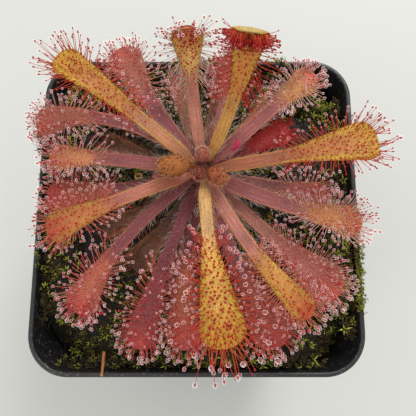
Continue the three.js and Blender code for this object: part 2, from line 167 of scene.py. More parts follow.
class Graph:
    """One material and the nodes behind its Principled shader."""

    def __init__(self, name, **numbers):
        self.material = bpy.data.materials.new(name)
        self.material.use_nodes = True
        self.tree = self.material.node_tree
        self.shader = self.tree.nodes["Principled BSDF"]
        for socket, number in numbers.items():
            self.shader.inputs[socket.replace("_", " ")].default_value = number

    def put(self, socket, value):
        """Links a Value to a socket, or sets a plain number or colour on it."""
        if isinstance(value, Value):
            self.tree.links.new(value.socket, socket)
        elif isinstance(value, (tuple, list)) and socket.type == "RGBA":
            socket.default_value = (*value[:3], 1)
        else:
            socket.default_value = value

    def node(self, kind, settings, inputs, output=0):
        """Adds a node: its settings first, a ramp's stops among them, and then its sockets."""
        made = self.tree.nodes.new(kind)
        for key, setting in settings.items():
            if key == "stops":
                while len(made.color_ramp.elements) < len(setting):
                    made.color_ramp.elements.new(0.5)
                for element, (place, colour) in zip(made.color_ramp.elements, setting):
                    element.position = place
                    element.color = (*colour, 1)
            else:
                setattr(made, key, setting)
        for socket, value in inputs.items():
            self.put(made.inputs[socket], value)
        return Value(self, made.outputs[output])

    def mix(self, first, second, factor, blend="MIX"):
        """One colour over another by a factor from 0 to 1."""
        settings = {"data_type": "RGBA", "blend_type": blend}
        return self.node("ShaderNodeMix", settings, {0: factor, 6: first, 7: second}, 2)

    def ramp(self, value, *stops):
        return self.node("ShaderNodeValToRGB", {"stops": stops}, {0: value})

    def place(self):
        """Where a point is on the object, in metres."""
        return self.node("ShaderNodeTexCoord", {}, {}, 3)

    def uv(self, axis):
        """One number of the piece's own map: 0 runs along it, 1 across it."""
        found = self.node("ShaderNodeUVMap", {"uv_map": "map"}, {})
        return self.node("ShaderNodeSeparateXYZ", {}, {0: found}, axis)

    def noise(self, size, detail=3.0, at=None, rough=0.55):
        """Cloudy noise from 0 to 1 whose patches are about size millimetres wide."""
        inputs = {"Vector": at or self.place(), "Scale": 0.5 / (size * MM), "Detail": detail}
        return self.node("ShaderNodeTexNoise", {}, {**inputs, "Roughness": rough})

    def tint(self):
        """The colour that the mesh carries at its points."""
        return self.node("ShaderNodeAttribute", {"attribute_name": "tint"}, {})

    def bump(self, height, depth):
        """Bends the light as if the surface rose by depth millimetres times height."""
        inputs = {"Height": height, "Distance": depth * MM, "Strength": 1.0}
        self.put(self.shader.inputs["Normal"], self.node("ShaderNodeBump", {}, inputs))

    def finish(self, colour, roughness=None):
        self.put(self.shader.inputs["Base Color"], colour)
        if roughness is not None:
            self.put(self.shader.inputs["Roughness"], roughness)
        return self.material


def srgb(red, green, blue):
    """A colour given as it looks on a screen, 0 to 255, as linear light."""
    share = np.array([red, green, blue]) / 255
    return tuple(np.where(share < 0.04045, share / 12.92, ((share + 0.055) / 1.055) ** 2.4).tolist())


print("shader helpers ready")

# %% [markdown]
# ## From numbers to meshes
# Leaves, stalks, drops and shoots are all closed tubes: rings of points carried along a path, with a pole
# at each end. One function turns an array of rings into points and faces, for one tube or for thousands.

# %% Meshes


def tubes(rings, ends=None):
    """Points and faces of closed tubes. rings has the shape (tubes, rings, sides, 3).
    Neighbouring rings are joined by two triangles a side, and each end by a fan round its pole."""
    count, rows, sides, _ = rings.shape
    if ends is None:
        ends = rings[:, [0, -1]].mean(axis=2)
    points = np.concatenate([rings.reshape(count, -1, 3), ends], axis=1)
    here = np.arange(sides)
    after = (here + 1) % sides
    row = (np.arange(rows - 1) * sides)[:, None]
    low = np.stack(np.broadcast_arrays(row + here, row + after, row + sides + here), -1)
    high = np.stack(np.broadcast_arrays(row + after, row + sides + after, row + sides + here), -1)
    first = np.stack(np.broadcast_arrays(rows * sides, after, here), -1)
    top = (rows - 1) * sides
    last = np.stack(np.broadcast_arrays(rows * sides + 1, top + here, top + after), -1)
    faces = np.concatenate([low.reshape(-1, 3), high.reshape(-1, 3), first, last])
    every = faces[None] + (np.arange(count) * points.shape[1])[:, None, None]
    return points.reshape(-1, 3), every.reshape(-1, 3)


def join(*parts):
    """Several (points, faces, tint) as one, each part's faces counted on from the last."""
    starts = np.cumsum([0] + [len(p[0]) for p in parts[:-1]])
    points = np.concatenate([p[0] for p in parts])
    faces = np.concatenate([p[1] + start for p, start in zip(parts, starts)])
    return points, faces, np.concatenate([p[2] for p in parts])


def write(name, points, faces, material, slot, stands_for=(), uv=None, tint=None):
    """Makes the piece: points in millimetres, triangles, an optional map and an optional tint per point."""
    mesh = bpy.data.meshes.new(name)
    mesh.vertices.add(len(points))
    mesh.vertices.foreach_set("co", (points * MM).astype(np.float32).ravel())
    mesh.loops.add(3 * len(faces))
    mesh.loops.foreach_set("vertex_index", faces.astype(np.int32).ravel())
    mesh.polygons.add(len(faces))
    mesh.polygons.foreach_set("loop_start", np.arange(0, 3 * len(faces), 3, dtype=np.int32))
    mesh.polygons.foreach_set("use_smooth", np.ones(len(faces), dtype=bool))
    mesh.update(calc_edges=True)
    if uv is not None:
        layer = mesh.uv_layers.new(name="map")
        layer.data.foreach_set("uv", uv[faces.ravel()].astype(np.float32).ravel())
    if tint is not None:
        colours = np.concatenate([tint, np.ones((len(tint), 1))], axis=1)
        mesh.color_attributes.new("tint", "FLOAT_COLOR", "POINT")
        mesh.color_attributes["tint"].data.foreach_set("color", colours.astype(np.float32).ravel())
    mesh.materials.append(material)
    piece = bpy.data.objects.new(name, mesh)
    bpy.context.scene.collection.objects.link(piece)
    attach(piece, "root")
    if stands_for:
        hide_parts(*stands_for)
    return piece


def slot_of(node):
    """The record's material slot of a solid."""
    return next(s["material_slot"] for s in frame["record"]["subparts"] if s["node"] == node)


def unit(vectors):
    """The vectors at length 1."""
    return vectors / np.maximum(np.linalg.norm(vectors, axis=-1, keepdims=True), 1e-12)


def smooth(low, high, value):
    """A smooth rise from 0 at low to 1 at high: 3t^2 - 2t^3."""
    t = np.clip((value - low) / (high - low), 0, 1)
    return t * t * (3 - 2 * t)


def blend(first, second, share):
    return first + (second - first) * share


def lumps(points, size, seed=0, layers=3):
    """Value noise from about -1 to 1: random numbers at the corners of cubes of that size, blended
    smoothly between them, with finer layers of half the size and half the strength added."""
    total = np.zeros(points.shape[:-1])
    for layer in range(layers):
        cell = points * (2**layer / size) + 17.3 * layer
        base = np.floor(cell).astype(np.int64)
        inside = cell - base
        inside = inside * inside * (3 - 2 * inside)
        for corner in np.ndindex(2, 2, 2):
            at = base + np.array(corner)
            key = (at[..., 0] * 73856093) ^ (at[..., 1] * 19349663) ^ (at[..., 2] * 83492791)
            key = ((key ^ (seed * 2654435761)) * 1103515245 + 12345) & 0x7FFFFFFF
            share = np.prod(np.where(corner, inside, 1 - inside), axis=-1)
            total += share * ((key >> 8) % 4096 / 2048 - 1) / 2**layer
    return total


print("mesh helpers ready")

# %% [markdown]
# ## The leaves' midribs
# Each leaf grows from the short stem in a whorl of its own height: the youngest whorl is the highest.
# Its midrib could be a drawn curve, but angles say more: how steeply it leaves the stem, how the whole
# leaf arches, how the blade droops and how far its tip is still rolled in. The solids use the same formula,
# and the same rows except for leaf_back_right, whose tip is turned and furled a little further here.
# Most numbers of the living leaves' rows are the rounded result of a least-squares fit, not set by hand.

# %% Leaf rows
CROWN = np.array([1.6, 8.0])
CROWN_TOP = POT_HEIGHT + 8.5
LEVEL_STEP = 1.45
LEAF_START = 2.2  # from the stem's axis to a petiole's foot
SHAPE = "level heading lift arch droop swing petiole blade petiole_width blade_width furl blunt".split()
LEAF_ROWS = {
    "leaf_front": (0, -88, 32, -42, -25, 11, 17, 23.5, 2.8, 10, 0),
    "leaf_back_left": (0, 146, 27, -15, -32, -3, 18.5, 21.5, 3.1, 7.2, 0),
    "leaf_right": (0, 1, 22, -10, -35, 12, 18.5, 19.5, 3.2, 9.0, 0, 3),
    "leaf_back_right": (0, 60.5, 22, 17, 4, 20, 17, 16.2, 3.0, 8.2, 150, 4),
    "leaf_back": (1, 99, 9, 41, -13, -4, 20, 11, 2.9, 7.2, 60, 4),
    "leaf_front_right": (1, -66, 16, -13, -32, 23, 22, 18, 3.1, 6.2, 0),
    "leaf_left": (1, -156, 22, -27, -26, 0, 21.5, 15.5, 3.1, 7.3, 0),
    "leaf_right_back": (1, 41, 12, -14, -7, 0, 22.5, 11, 3.3, 7.2, 0),
    "leaf_right_front": (2, -28, 8, -2, -26, 17, 23, 14, 3.8, 7.4, 0),
    "leaf_left_back": (2, 172, 10, -6, -25, 9, 23, 11.5, 3.3, 6.4, 0),
    "leaf_left_front": (2, -143, 11, -10, -39, 27, 27.5, 15, 3.0, 7.9, 0),
    "leaf_back_left_inner": (2, 132, 14, -16, -15, -17, 20.5, 15, 4.0, 8.7, 0),
    "leaf_front_left_inner": (3, -114, 9, -7, -32, 9, 23.5, 18.5, 2.9, 7.4, 0),
    "leaf_back_right_middle": (3, 73, 5, 1, -1, 4, 18.5, 11, 2.5, 6.6, 0),
    "leaf_right_red": (3, 30, 1, 0, -4, -4, 9.5, 12.5, 2.8, 6.6, 0),
    "leaf_back_left_low": (3, 133, 0, 11, -50, 67, 29, 15, 3.2, 8.0, 0),
    "leaf_front_left": (4, -104, 4, 1, -27, 17, 19, 21, 3.2, 8.2, 0),
    "leaf_front_right_outer": (4, -45, 7, -3, -24, 4, 22, 19, 3.2, 10.3, 0),
    "leaf_left_low": (4, -168, 3, 2, -14, -7, 20.5, 15.5, 2.8, 7.6, 0),
    "leaf_right_back_low": (4, 52, -4, 9, -4, -10, 16.5, 11.5, 2.9, 6.2, 0),
    "leaf_front_right_inner": (5, -73, 2, 5, -21, 15, 24, 18.5, 3.2, 10.4, 0),
    "leaf_right_low": (5, -7, 1, 4, -14, -7, 17.5, 11.5, 3.0, 6.4, 0),
    "leaf_back_right_low": (5, 83, 2, 0, 2, -9, 16.5, 12, 3.0, 6.2, 0),
    "leaf_back_low": (6, 108, 1, -2, 4, -6, 17.5, 9, 2.9, 5.4, 0),
    "leaf_left_stub": (3, -172, 14, 0, 0, 0, 5.5, 5, 1.5, 1.8, 0),
    "dead_leaf_front_left": (6, -128, 0, 0, -8, 4, 13, 13.5, 2.4, 7.2, 0),
    "dead_leaf_left": (7, -149, 1, 0, -4, -6, 13, 13.5, 2.4, 5.6, 0),
    "dead_leaf_front": (7, -109, 0, 0, -6, 6, 14.5, 13.5, 2.4, 6.4, 0),
    "dead_leaf_back_left": (6, 158, 4, 0, 0, 6, 12, 13.5, 2.2, 5.6, 0),
}


class Leaf:
    """A leaf's numbers by name, its midrib and the frame that travels along it."""

    def __init__(self, name, row, parts=240):
        self.name = name
        self.blunt = 2.2
        self.__dict__.update(zip(SHAPE, row))
        self.length = self.petiole + self.blade
        self.steps = np.linspace(0, self.length, parts + 1)
        share = self.steps / self.length
        along = self.along(self.steps)
        bend = self.arch * share + self.droop * along**2 + self.furl * along**6
        pitch = np.radians(self.lift + bend)
        yaw = np.radians(self.heading + self.swing * share)
        level = np.zeros_like(yaw)
        ahead = np.stack([np.cos(pitch) * np.cos(yaw), np.cos(pitch) * np.sin(yaw), np.sin(pitch)], 1)
        side = np.stack([-np.sin(yaw), np.cos(yaw), level], 1)
        turn = math.radians(self.heading)
        foot = [*(CROWN + LEAF_START * np.array([math.cos(turn), math.sin(turn)])), 0]
        foot[2] = CROWN_TOP - self.level * LEVEL_STEP
        way = np.cumsum(ahead[:-1] * (self.length / parts), axis=0)
        centre = foot + np.concatenate([np.zeros((1, 3)), way])
        self.track = np.concatenate([centre, ahead, side, np.cross(ahead, side)], axis=1)

    def along(self, distance):
        """0 on the petiole, and from 0 to 1 over the blade."""
        return np.clip((distance - self.petiole) / self.blade, 0, 1)

    def frame(self, distance):
        """Centre, ahead, side and up at distances from the stem, read between the midrib's steps."""
        columns = [np.interp(distance, self.steps, column) for column in self.track.T]
        frames = np.stack(columns, -1).reshape(*np.shape(distance), 4, 3)
        return np.moveaxis(frames, -2, 0)

    def width(self, distance):
        """The spoon outline: an even strap that widens almost in a straight line, and a blunt end that
        closes as (1 - t^n)^(1/n). The end is as long as 0.55 of the blade's width."""
        petiole = blend(1.3, self.petiole_width, smooth(0, 6, distance))
        along = (distance - self.petiole) / self.blade
        shoulder = 1 - 0.55 * self.blade_width / self.blade
        spread = np.clip((along + 0.05) / (shoulder + 0.1), 0, 1) ** 1.15
        past = np.clip((along - shoulder) / (1 - shoulder), 0, 1)
        return blend(petiole, self.blade_width, spread) * (1 - past**self.blunt) ** (1 / self.blunt)


leaves = {name: Leaf(name, row) for name, row in LEAF_ROWS.items()}

# %% [markdown]
# ## What the leaves look like
# Sun turns a sundew's top leaves golden, and shade leaves the lower ones pink or maroon. Each leaf takes one
# of a few looks: colours along the petiole and the blade, and how long, dense and wet its tentacles are.
# One material per leaf could be painted by hand, but a look with names is easier to read and to change.

# %% Looks
GOLD = {
    "petiole": (192, 128, 90),
    "petiole_rim": (222, 180, 80),
    "middle": (222, 156, 66),
    "rim": (222, 184, 46),
    "tip": (218, 170, 40),
    "fleck": (190, 92, 34),
    "foot": (226, 150, 64),
    "stalk": (214, 58, 40),
    "gland": (166, 22, 18),
    "hair": (240, 216, 190),
    "cup": 0.05,
    "spacing": 1.0,
    "border": 0.85,
    "inner": 1.0,
    "tip_inner": 1.1,
    "lean": 78,
    "neck": 3.8,
    "end": 4.7,
    "rise": 14,
    "thick": 0.105,
    "head": 0.22,
    "drop": 0.37,
    "inner_drop": 0.0,
    "crowd": 10,
}
PINK = {
    **GOLD,
    "petiole": (140, 64, 70),
    "petiole_rim": (176, 100, 88),
    "middle": (170, 86, 58),
    "rim": (184, 94, 68),
    "tip": (206, 70, 54),
    "fleck": (146, 52, 50),
    "foot": (240, 180, 156),
    "stalk": (232, 130, 116),
    "gland": (178, 24, 38),
    "hair": (246, 226, 216),
    "spacing": 0.86,
    "border": 0.85,
    "inner": 1.9,
    "tip_inner": 1.5,
    "lean": 46,
    "neck": 3.9,
    "end": 2.8,
    "rise": 24,
    "thick": 0.085,
    "head": 0.2,
    "drop": 0.42,
    "inner_drop": 0.28,
    "crowd": 40,
}
MAUVE = {
    **PINK,
    "petiole": (172, 96, 94),
    "petiole_rim": (206, 132, 108),
    "middle": (176, 94, 68),
    "rim": (188, 110, 76),
    "tip": (204, 84, 60),
    "fleck": (152, 66, 64),
    "foot": (246, 208, 188),
    "stalk": (240, 170, 152),
}
MAROON = {
    **PINK,
    "petiole": (116, 38, 46),
    "petiole_rim": (146, 70, 66),
    "middle": (136, 42, 44),
    "rim": (160, 60, 54),
    "tip": (190, 56, 48),
    "fleck": (84, 22, 30),
    "foot": (196, 96, 84),
    "stalk": (222, 108, 98),
}
DRY = {
    **PINK,
    "petiole": (150, 92, 66),
    "petiole_rim": (186, 128, 92),
    "middle": (166, 94, 60),
    "rim": (178, 108, 68),
    "tip": (148, 80, 50),
    "fleck": (98, 50, 34),
    "foot": (214, 158, 122),
    "stalk": (204, 130, 102),
    "gland": (132, 40, 32),
    "neck": 2.4,
    "end": 2.0,
    "thick": 0.07,
    "head": 0.15,
    "drop": 0.3,
    "inner_drop": 0.22,
}
DEAD = {
    **DRY,
    "petiole": (110, 68, 46),
    "petiole_rim": (144, 96, 64),
    "middle": (132, 80, 48),
    "rim": (160, 104, 64),
    "tip": (98, 58, 38),
    "fleck": (60, 36, 26),
    "stalk": (172, 114, 78),
    "cup": 0.3,
    "spacing": 1.3,
    "border": 1.1,
    "inner": 1.0,
    "neck": 1.6,
    "end": 1.3,
    "drop": 0.0,
}
OCHRE = {**MAUVE, "middle": (206, 130, 70), "rim": (208, 138, 72), "tip": (206, 102, 60), "inner_drop": 0.25}
PALE = {"foot": (244, 226, 200), "stalk": (242, 200, 182)}
LOOKS = {
    "leaf_front": {
        **GOLD, "petiole": (222, 176, 112), "middle": (255, 206, 92), "tip": (250, 190, 44), "end": 7.0,
        "rise": 8, "thick": 0.15, "head": 0.28, "drop": 0.58, "border": 1.0,
    },
    "leaf_back_left": {**GOLD, "petiole": (200, 136, 94), "middle": (214, 142, 56)},
    "leaf_right": {
        **GOLD, "petiole": (176, 104, 70), "petiole_rim": (206, 150, 66), "middle": (216, 142, 66),
        "end": 4.2, "drop": 0.4,
    },
    "leaf_back_right": {
        **GOLD, "petiole": (206, 150, 62), "middle": (232, 150, 44), "tip": (204, 180, 96),
        "border": 0.62, "crowd": 420, "tip_inner": 2.6, "neck": 5.0, "end": 3.0, "drop": 0.2,
        "cup": 0.03, "stalk": (222, 44, 32),
    },
    "leaf_back": {
        **GOLD, **PALE, "petiole": (206, 134, 114), "petiole_rim": (212, 144, 112),
        "middle": (255, 206, 112), "rim": (236, 196, 70), "tip": (240, 130, 70), "cup": 0.1, "neck": 5.2,
        "end": 3.8, "border": 0.45, "spacing": 0.8, "inner": 1.2, "thick": 0.09, "crowd": 50,
    },
    "leaf_front_right": {
        **GOLD, "petiole": (190, 118, 104), "petiole_rim": (206, 140, 100), "stalk": (228, 128, 104),
        "foot": (240, 190, 130), "tip": (214, 92, 34), "cup": -0.08, "crowd": 30, "rise": 24,
        "neck": 3.2, "end": 3.2, "border": 0.62, "thick": 0.09, "drop": 0.4, "inner": 1.3, "lean": 60,
    },
    "leaf_left": {
        **GOLD, "petiole_rim": (206, 140, 84), "petiole": (190, 114, 92), "middle": (212, 134, 66),
        "rim": (206, 160, 52), "tip": (212, 92, 56), "stalk": (228, 124, 104), "rise": 20, "end": 3.4,
        "drop": 0.42, "border": 0.65, "spacing": 0.85, "thick": 0.09, "inner": 1.4, "lean": 58,
        "foot": (240, 184, 130),
    },
    "leaf_right_back": {
        **OCHRE, **PALE, "middle": (206, 136, 66), "rim": (206, 150, 66), "tip": (226, 96, 58),
        "end": 2.4, "border": 0.7,
    },
    "leaf_right_front": {**OCHRE, **PALE, "end": 3.4},
    "leaf_left_back": {
        **OCHRE, "middle": (220, 140, 84), "stalk": (242, 184, 166), "end": 2.6, "neck": 4.4,
    },
    "leaf_left_front": {**PINK, "petiole": (130, 62, 64), "middle": (190, 96, 66), "tip": (214, 66, 54)},
    "leaf_back_left_inner": {**MAUVE, "petiole": (158, 82, 88)},
    "leaf_front_left_inner": {**MAROON, "inner": 1.3, "spacing": 1.0},
    "leaf_back_right_middle": {**MAUVE, "middle": (182, 72, 58), "stalk": (226, 104, 94)},
    "leaf_right_red": {
        **MAROON, "petiole": (156, 62, 64), "middle": (196, 36, 32), "rim": (188, 40, 36),
        "tip": (206, 44, 42), "foot": (216, 62, 52), "stalk": (226, 58, 52), "neck": 2.0, "end": 1.5,
        "drop": 0.0, "spacing": 0.62, "border": 0.5, "inner": 1.4, "head": 0.12, "thick": 0.07,
    },
    "leaf_back_left_low": {**MAUVE, "petiole": (150, 76, 76)},
    "leaf_front_left": {**PINK, "petiole": (118, 44, 46), "middle": (196, 104, 66)},
    "leaf_front_right_outer": {**MAUVE, "petiole": (180, 112, 94), "middle": (178, 92, 82)},
    "leaf_left_low": PINK,
    "leaf_right_back_low": {**DRY, "petiole": (198, 122, 76), "rim": (208, 136, 76)},
    "leaf_front_right_inner": {**PINK, "middle": (188, 88, 68), "stalk": (224, 104, 92)},
    "leaf_right_low": {**MAUVE, "petiole": (140, 80, 68), "middle": (168, 80, 72)},
    "leaf_back_right_low": DRY,
    "leaf_back_low": DRY,
    "leaf_left_stub": {
        **MAROON, "petiole": (176, 38, 66), "petiole_rim": (176, 50, 70), "middle": (166, 36, 60),
    },
    "dead_leaf_front_left": DEAD,
    "dead_leaf_left": {**DEAD, "cup": 0.42},
    "dead_leaf_front": {**DEAD, "middle": (120, 74, 46)},
    "dead_leaf_back_left": DEAD,
}
BARE = ("leaf_left_stub",)  # no tentacles

# %% [markdown]
# ## Blades and petioles
# A real leaf is one piece: a flat strap with pale edges that widens into a shallow spoon. It could be a
# plane with thickness added, but a closed tube of lens-shaped sections gives soft edges and an underside.

# %% Leaf surfaces
SIDES = 20


def leaf_rings(leaf, cup):
    """Rings along a leaf. Across it the half-width goes with the cosine of an angle and the thickness with
    its sine; the edges lift by cup times the width on the blade and a little on the petiole."""
    petiole = np.linspace(0, leaf.petiole, 16)[:-1]
    blade = leaf.petiole + leaf.blade * np.sin(np.linspace(0, math.pi / 2, 40)) ** 1.15
    distance = np.concatenate([petiole, blade[:-1], [leaf.length - 0.02]])
    angle = np.linspace(0, 2 * math.pi, SIDES, endpoint=False)
    centre, _, side, up = leaf.frame(distance)
    width = leaf.width(distance)
    across = np.cos(angle)
    thick = blend(0.9, 0.75, smooth(0, 0.5, leaf.along(distance)))
    thick = thick * np.sqrt(np.clip(width / 1.2, 0, 1))
    lift = width * blend(0.07, cup, smooth(-0.1, 0.5, leaf.along(distance)))
    half = 0.5 * thick[:, None] * np.sign(np.sin(angle)) * np.abs(np.sin(angle)) ** 0.8
    height = half + lift[:, None] * (across**2 - 0.3)
    rings = centre[:, None] + side[:, None] * (0.5 * width[:, None] * across)[..., None]
    rings = rings + up[:, None] * height[..., None]
    depth = 0.35 if leaf.name.startswith("dead") else 0.05
    bumps = lumps(rings, 1.6, seed=3, layers=2) * depth * np.minimum(1, width / 4)[:, None]
    rings = rings + up[:, None] * bumps[..., None]
    lengthways = np.where(distance < leaf.petiole, 0.4 * distance / leaf.petiole,
                          0.4 + 0.6 * leaf.along(distance))
    uv = np.stack(np.broadcast_arrays(lengthways[:, None], 0.5 + 0.5 * across), -1).reshape(-1, 2)
    return rings[None], np.concatenate([uv, [[0, 0.5], [1, 0.5]]])


def leaf_material(name, look):
    """Petiole to blade along the map, paler towards the edges, with streaks, flecks and raised veins."""
    graph = Graph(name, Coat_Weight=0.12, Coat_Roughness=0.3)
    along, across = graph.uv(0), graph.uv(1)
    edge = (across - 0.5).math("ABSOLUTE") * 2
    colour = {key: srgb(*value) for key, value in look.items() if isinstance(value, tuple)}
    middle = graph.ramp(along, (0.0, colour["petiole"]), (0.36, colour["petiole"]), (0.5, colour["middle"]),
                        (0.74, colour["middle"]), (0.95, colour["tip"]))
    rim = graph.ramp(along, (0.3, colour["petiole_rim"]), (0.55, colour["rim"]), (0.9, colour["rim"]),
                     (1.0, colour["tip"]))
    clouds = graph.noise(1.3, 4)
    comb = graph.noise(500, 2, at=graph.node("ShaderNodeCombineXYZ", {}, {0: along * 110, 1: edge * 4}))
    ragged = edge + (clouds - 0.5) * 0.4 + (comb - 0.5) * 0.5
    stem = 1 - along.step(0.36, 0.5)
    base = graph.mix(middle, rim, ragged.step(0.42 + stem * 0.22, 0.85 + stem * 0.14))
    streaks = graph.node("ShaderNodeCombineXYZ", {}, {0: along * 7, 1: across * 26})
    ridges = graph.noise(500, 3, at=streaks, rough=0.7)
    base = graph.mix(base, (0.5, 0.4, 0.42), ridges.step(0.5, 0.62) * (stem * 0.5 + 0.3), "MULTIPLY")
    base = graph.mix(base, (1.5, 1.42, 1.3), (1 - ridges).step(0.52, 0.62) * (stem * 0.8 + 0.3), "MULTIPLY")
    base = graph.mix(base, colour["fleck"], comb.step(0.5, 0.72) * edge.step(0.35, 0.9) * 0.5)
    base = graph.mix(base, colour["fleck"], graph.noise(0.2, 2).step(0.5, 0.66) * 0.6)
    # Fine white specks are a painted highlight: glints of a wet shine.
    base = graph.mix(base, (1, 1, 1), graph.noise(0.16, 2).step(0.56, 0.72) * 0.16)
    base = graph.mix(base, (0.5, 0.4, 0.38), graph.noise(2.6, 3).step(0.35, 0.75) * 0.35, "MULTIPLY")
    graph.bump(ridges + graph.noise(0.3, 2) + comb * edge.step(0.3, 0.9) * 1.2, 0.14)
    return graph.finish(base, clouds * 0.25 + 0.34)


def make_leaf(name, look):
    rings, uv = leaf_rings(leaves[name], look["cup"])
    points, faces = tubes(rings)
    material = leaf_material(name + "_skin", look)
    return write(name + "_blade", points, faces, material, slot_of(name), [name], uv=uv)


for name, look in LOOKS.items():
    make_leaf(name, look)
print("leaf surfaces:", len(LOOKS))

# %% [markdown]
# ## Tentacles and dew
# A blade's tentacles are short and upright in the middle and long and splayed at the edge. Hair particles
# could grow them, but real meshes export as they are. So every tentacle is one row of numbers: a root on the
# blade, a way, a length and a bend. All stalks of a leaf are worked out together as arrays.

# %% Tentacles


def stalks(roots, ways, lengths, bends, thick, rings=5, sides=3):
    """Curved, thinning tubes. At a share q of the length a stalk's centre is root + way*length*q +
    bend*length*q^2, and its radius falls from thick to 0.45 of that. Also gives the end and its way."""
    q = np.linspace(0, 1, rings)[None, :, None]
    length = lengths[:, None, None]
    centre = roots[:, None] + ways[:, None] * length * q + bends[:, None] * length * q**2
    ahead = unit(ways[:, None] + 2 * bends[:, None] * q)
    shafts = round_rings(centre, ahead, thick[:, None] * (1 - 0.55 * q[..., 0]), sides)
    return shafts, centre[:, -1], ahead[:, -1]


def round_rings(centre, ahead, radius, sides):
    """Round rings about centre, square to ahead: centre + radius*(cos a * first + sin a * second)."""
    helper = np.where(np.abs(ahead[..., 2:3]) > 0.8, [1.0, 0.1, 0.0], [0.1, 0.0, 1.0])
    first = unit(np.cross(ahead, helper))
    second = np.cross(ahead, first)
    angle = np.linspace(0, 2 * math.pi, sides, endpoint=False)[:, None]
    flat = np.cos(angle) * first[..., None, :] + np.sin(angle) * second[..., None, :]
    return centre[..., None, :] + radius[..., None, None] * flat


def balls(centres, ways, radius, stretch=1.0, rings=5, sides=8):
    """Round or egg-shaped tubes: rings at even angles from pole to pole of a ball, stretched along ways."""
    turn = np.concatenate([[0.2], np.linspace(0, math.pi, rings + 2)[1:-1], [math.pi - 0.2]])
    reach = -np.cos(turn)[None, :, None] * (radius * stretch)[:, None, None]
    centre = centres[:, None] + ways[:, None] * reach
    ahead = np.broadcast_to(ways[:, None], centre.shape)
    return round_rings(centre, ahead, radius[:, None] * np.sin(turn)[None], sides)


def beads(centres, ways, radius, stretch, sides=6):
    """Small balls of one ring and two poles, for things too small to show more."""
    reach = ways * (radius * stretch)[:, None]
    ring = round_rings(centres[:, None], ways[:, None], radius[:, None], sides)
    return ring, np.stack([centres - reach, centres + reach], axis=1)


def shaded(rings, first, last):
    """A tint for every point of some tubes, from first at their start to last at their end."""
    count, rows, sides, _ = rings.shape
    share = np.linspace(0, 1, rows)[None, :, None, None]
    colours = blend(np.reshape(first, (-1, 1, 1, 3)), np.reshape(last, (-1, 1, 1, 3)), share)
    colours = np.broadcast_to(colours, (count, rows, sides, 3)).reshape(count, -1, 3)
    ends = np.broadcast_to(np.stack([colours[:, 0], colours[:, -1]], 1), (count, 2, 3))
    return np.concatenate([colours, ends], axis=1).reshape(-1, 3)


def sow(leaf, look, rng):
    """Where the tentacles of a blade stand, as distance along the leaf and a share across it. An even
    grid with every second row shifted, shaken by a quarter of its spacing, and rows along the outline.
    A few also stand on the last of the petiole, and a crowd of others near the tip."""
    gap = look["spacing"]
    row, column = np.mgrid[0 : int((leaf.blade + 3) / gap * 1.3), -9:10]
    distance = leaf.petiole - 3 + row * gap * 0.87 + rng.uniform(-0.28, 0.28, row.shape) * gap
    place = (column + 0.5 * (row % 2)) * gap + rng.uniform(-0.28, 0.28, row.shape) * gap
    half = 0.5 * leaf.width(distance)
    inside = (distance < leaf.length - 0.5) & (np.abs(place) < half - 0.3)
    inside &= (distance > leaf.petiole - 0.5) | (rng.uniform(size=row.shape) < 0.3)
    inner = np.stack([distance[inside], (place / np.maximum(half, 0.1))[inside]], 1)
    fine = leaf.petiole - 1 + (leaf.blade + 1) * np.sin(np.linspace(0, math.pi / 2, 400))
    reach = 0.5 * leaf.width(fine)
    track = np.concatenate([[0], np.cumsum(np.hypot(np.diff(fine), np.diff(reach)))])
    rims = []
    for sign in (-1, 1):
        for inset, spread in ((1.0, 1.0), (0.87, 1.35)):
            marks = np.arange(spread / 2, track[-1], spread * look["border"])
            marks = marks + rng.uniform(-0.25, 0.25, marks.shape)
            at = np.interp(marks, track, fine)
            rims.append(np.stack([at, np.full(at.shape, sign * inset)], 1))
    crowd = look["crowd"]
    extra = [leaf.length - leaf.blade * 0.45 * rng.beta(1, 1.6, crowd) - 0.3, rng.uniform(-0.95, 0.95, crowd)]
    return np.concatenate([inner, np.stack(extra, 1), *rims])


def tentacles_of(leaf, look, rng):
    """Roots, ways, lengths and bends of a leaf's tentacles, and how near each is to edge and tip, 0 to 1.
    The way turns from upright in the middle to outward at the edge, and round the whole blade the tentacles
    fan out: those at the neck lean back to the stem and those at the end lean forward."""
    distance, across = sow(leaf, look, rng).T
    distance = np.minimum(distance, leaf.length - 0.05)
    count = len(distance)
    along = leaf.along(distance)
    width = leaf.width(distance)
    slope = (leaf.width(distance + 0.05) - leaf.width(distance - 0.05)) / 0.2
    outward = unit(np.stack([-slope * np.abs(across), np.sign(across) * np.abs(across) ** 0.5], 1))
    tip = smooth(0.6, 1.0, along)
    fan = blend(-1.15, 1.0, smooth(-0.15, 1.05, (distance - leaf.petiole) / leaf.blade))
    outward = unit(outward + np.stack([fan, 0 * fan], 1))
    inset = np.minimum(0.5 * width * (1 - np.abs(across)), leaf.length - distance)
    edge = (1 - np.clip(inset / 1.9, 0, 1)) ** 1.5
    centre, ahead, side, up = leaf.frame(distance)
    cup = look["cup"] * width * (across**2 - 0.3)
    roots = centre + side * (0.47 * width * across)[:, None] + up * (cup + 0.15)[:, None]
    rise = np.radians(blend(look["lean"] + rng.normal(0, 9, count),
                            look["rise"] + rng.normal(0, 15, count), edge))
    flat = ahead * outward[:, :1] + side * outward[:, 1:]
    ways = flat * np.cos(rise)[:, None] + up * np.sin(rise)[:, None]
    ways = unit(ways + rng.normal(0, 0.1, (count, 3)))
    reach = blend(look["neck"], look["end"], smooth(0.4, 0.95, along))
    inner = blend(look["inner"], look["tip_inner"], tip)
    lengths = blend(inner, reach, edge) * rng.uniform(0.72, 1.12, count)
    bends = up * rng.uniform(-0.05, 0.22, (count, 1)) + rng.normal(0, 0.07, (count, 3))
    return roots, ways, lengths, bends, edge, tip


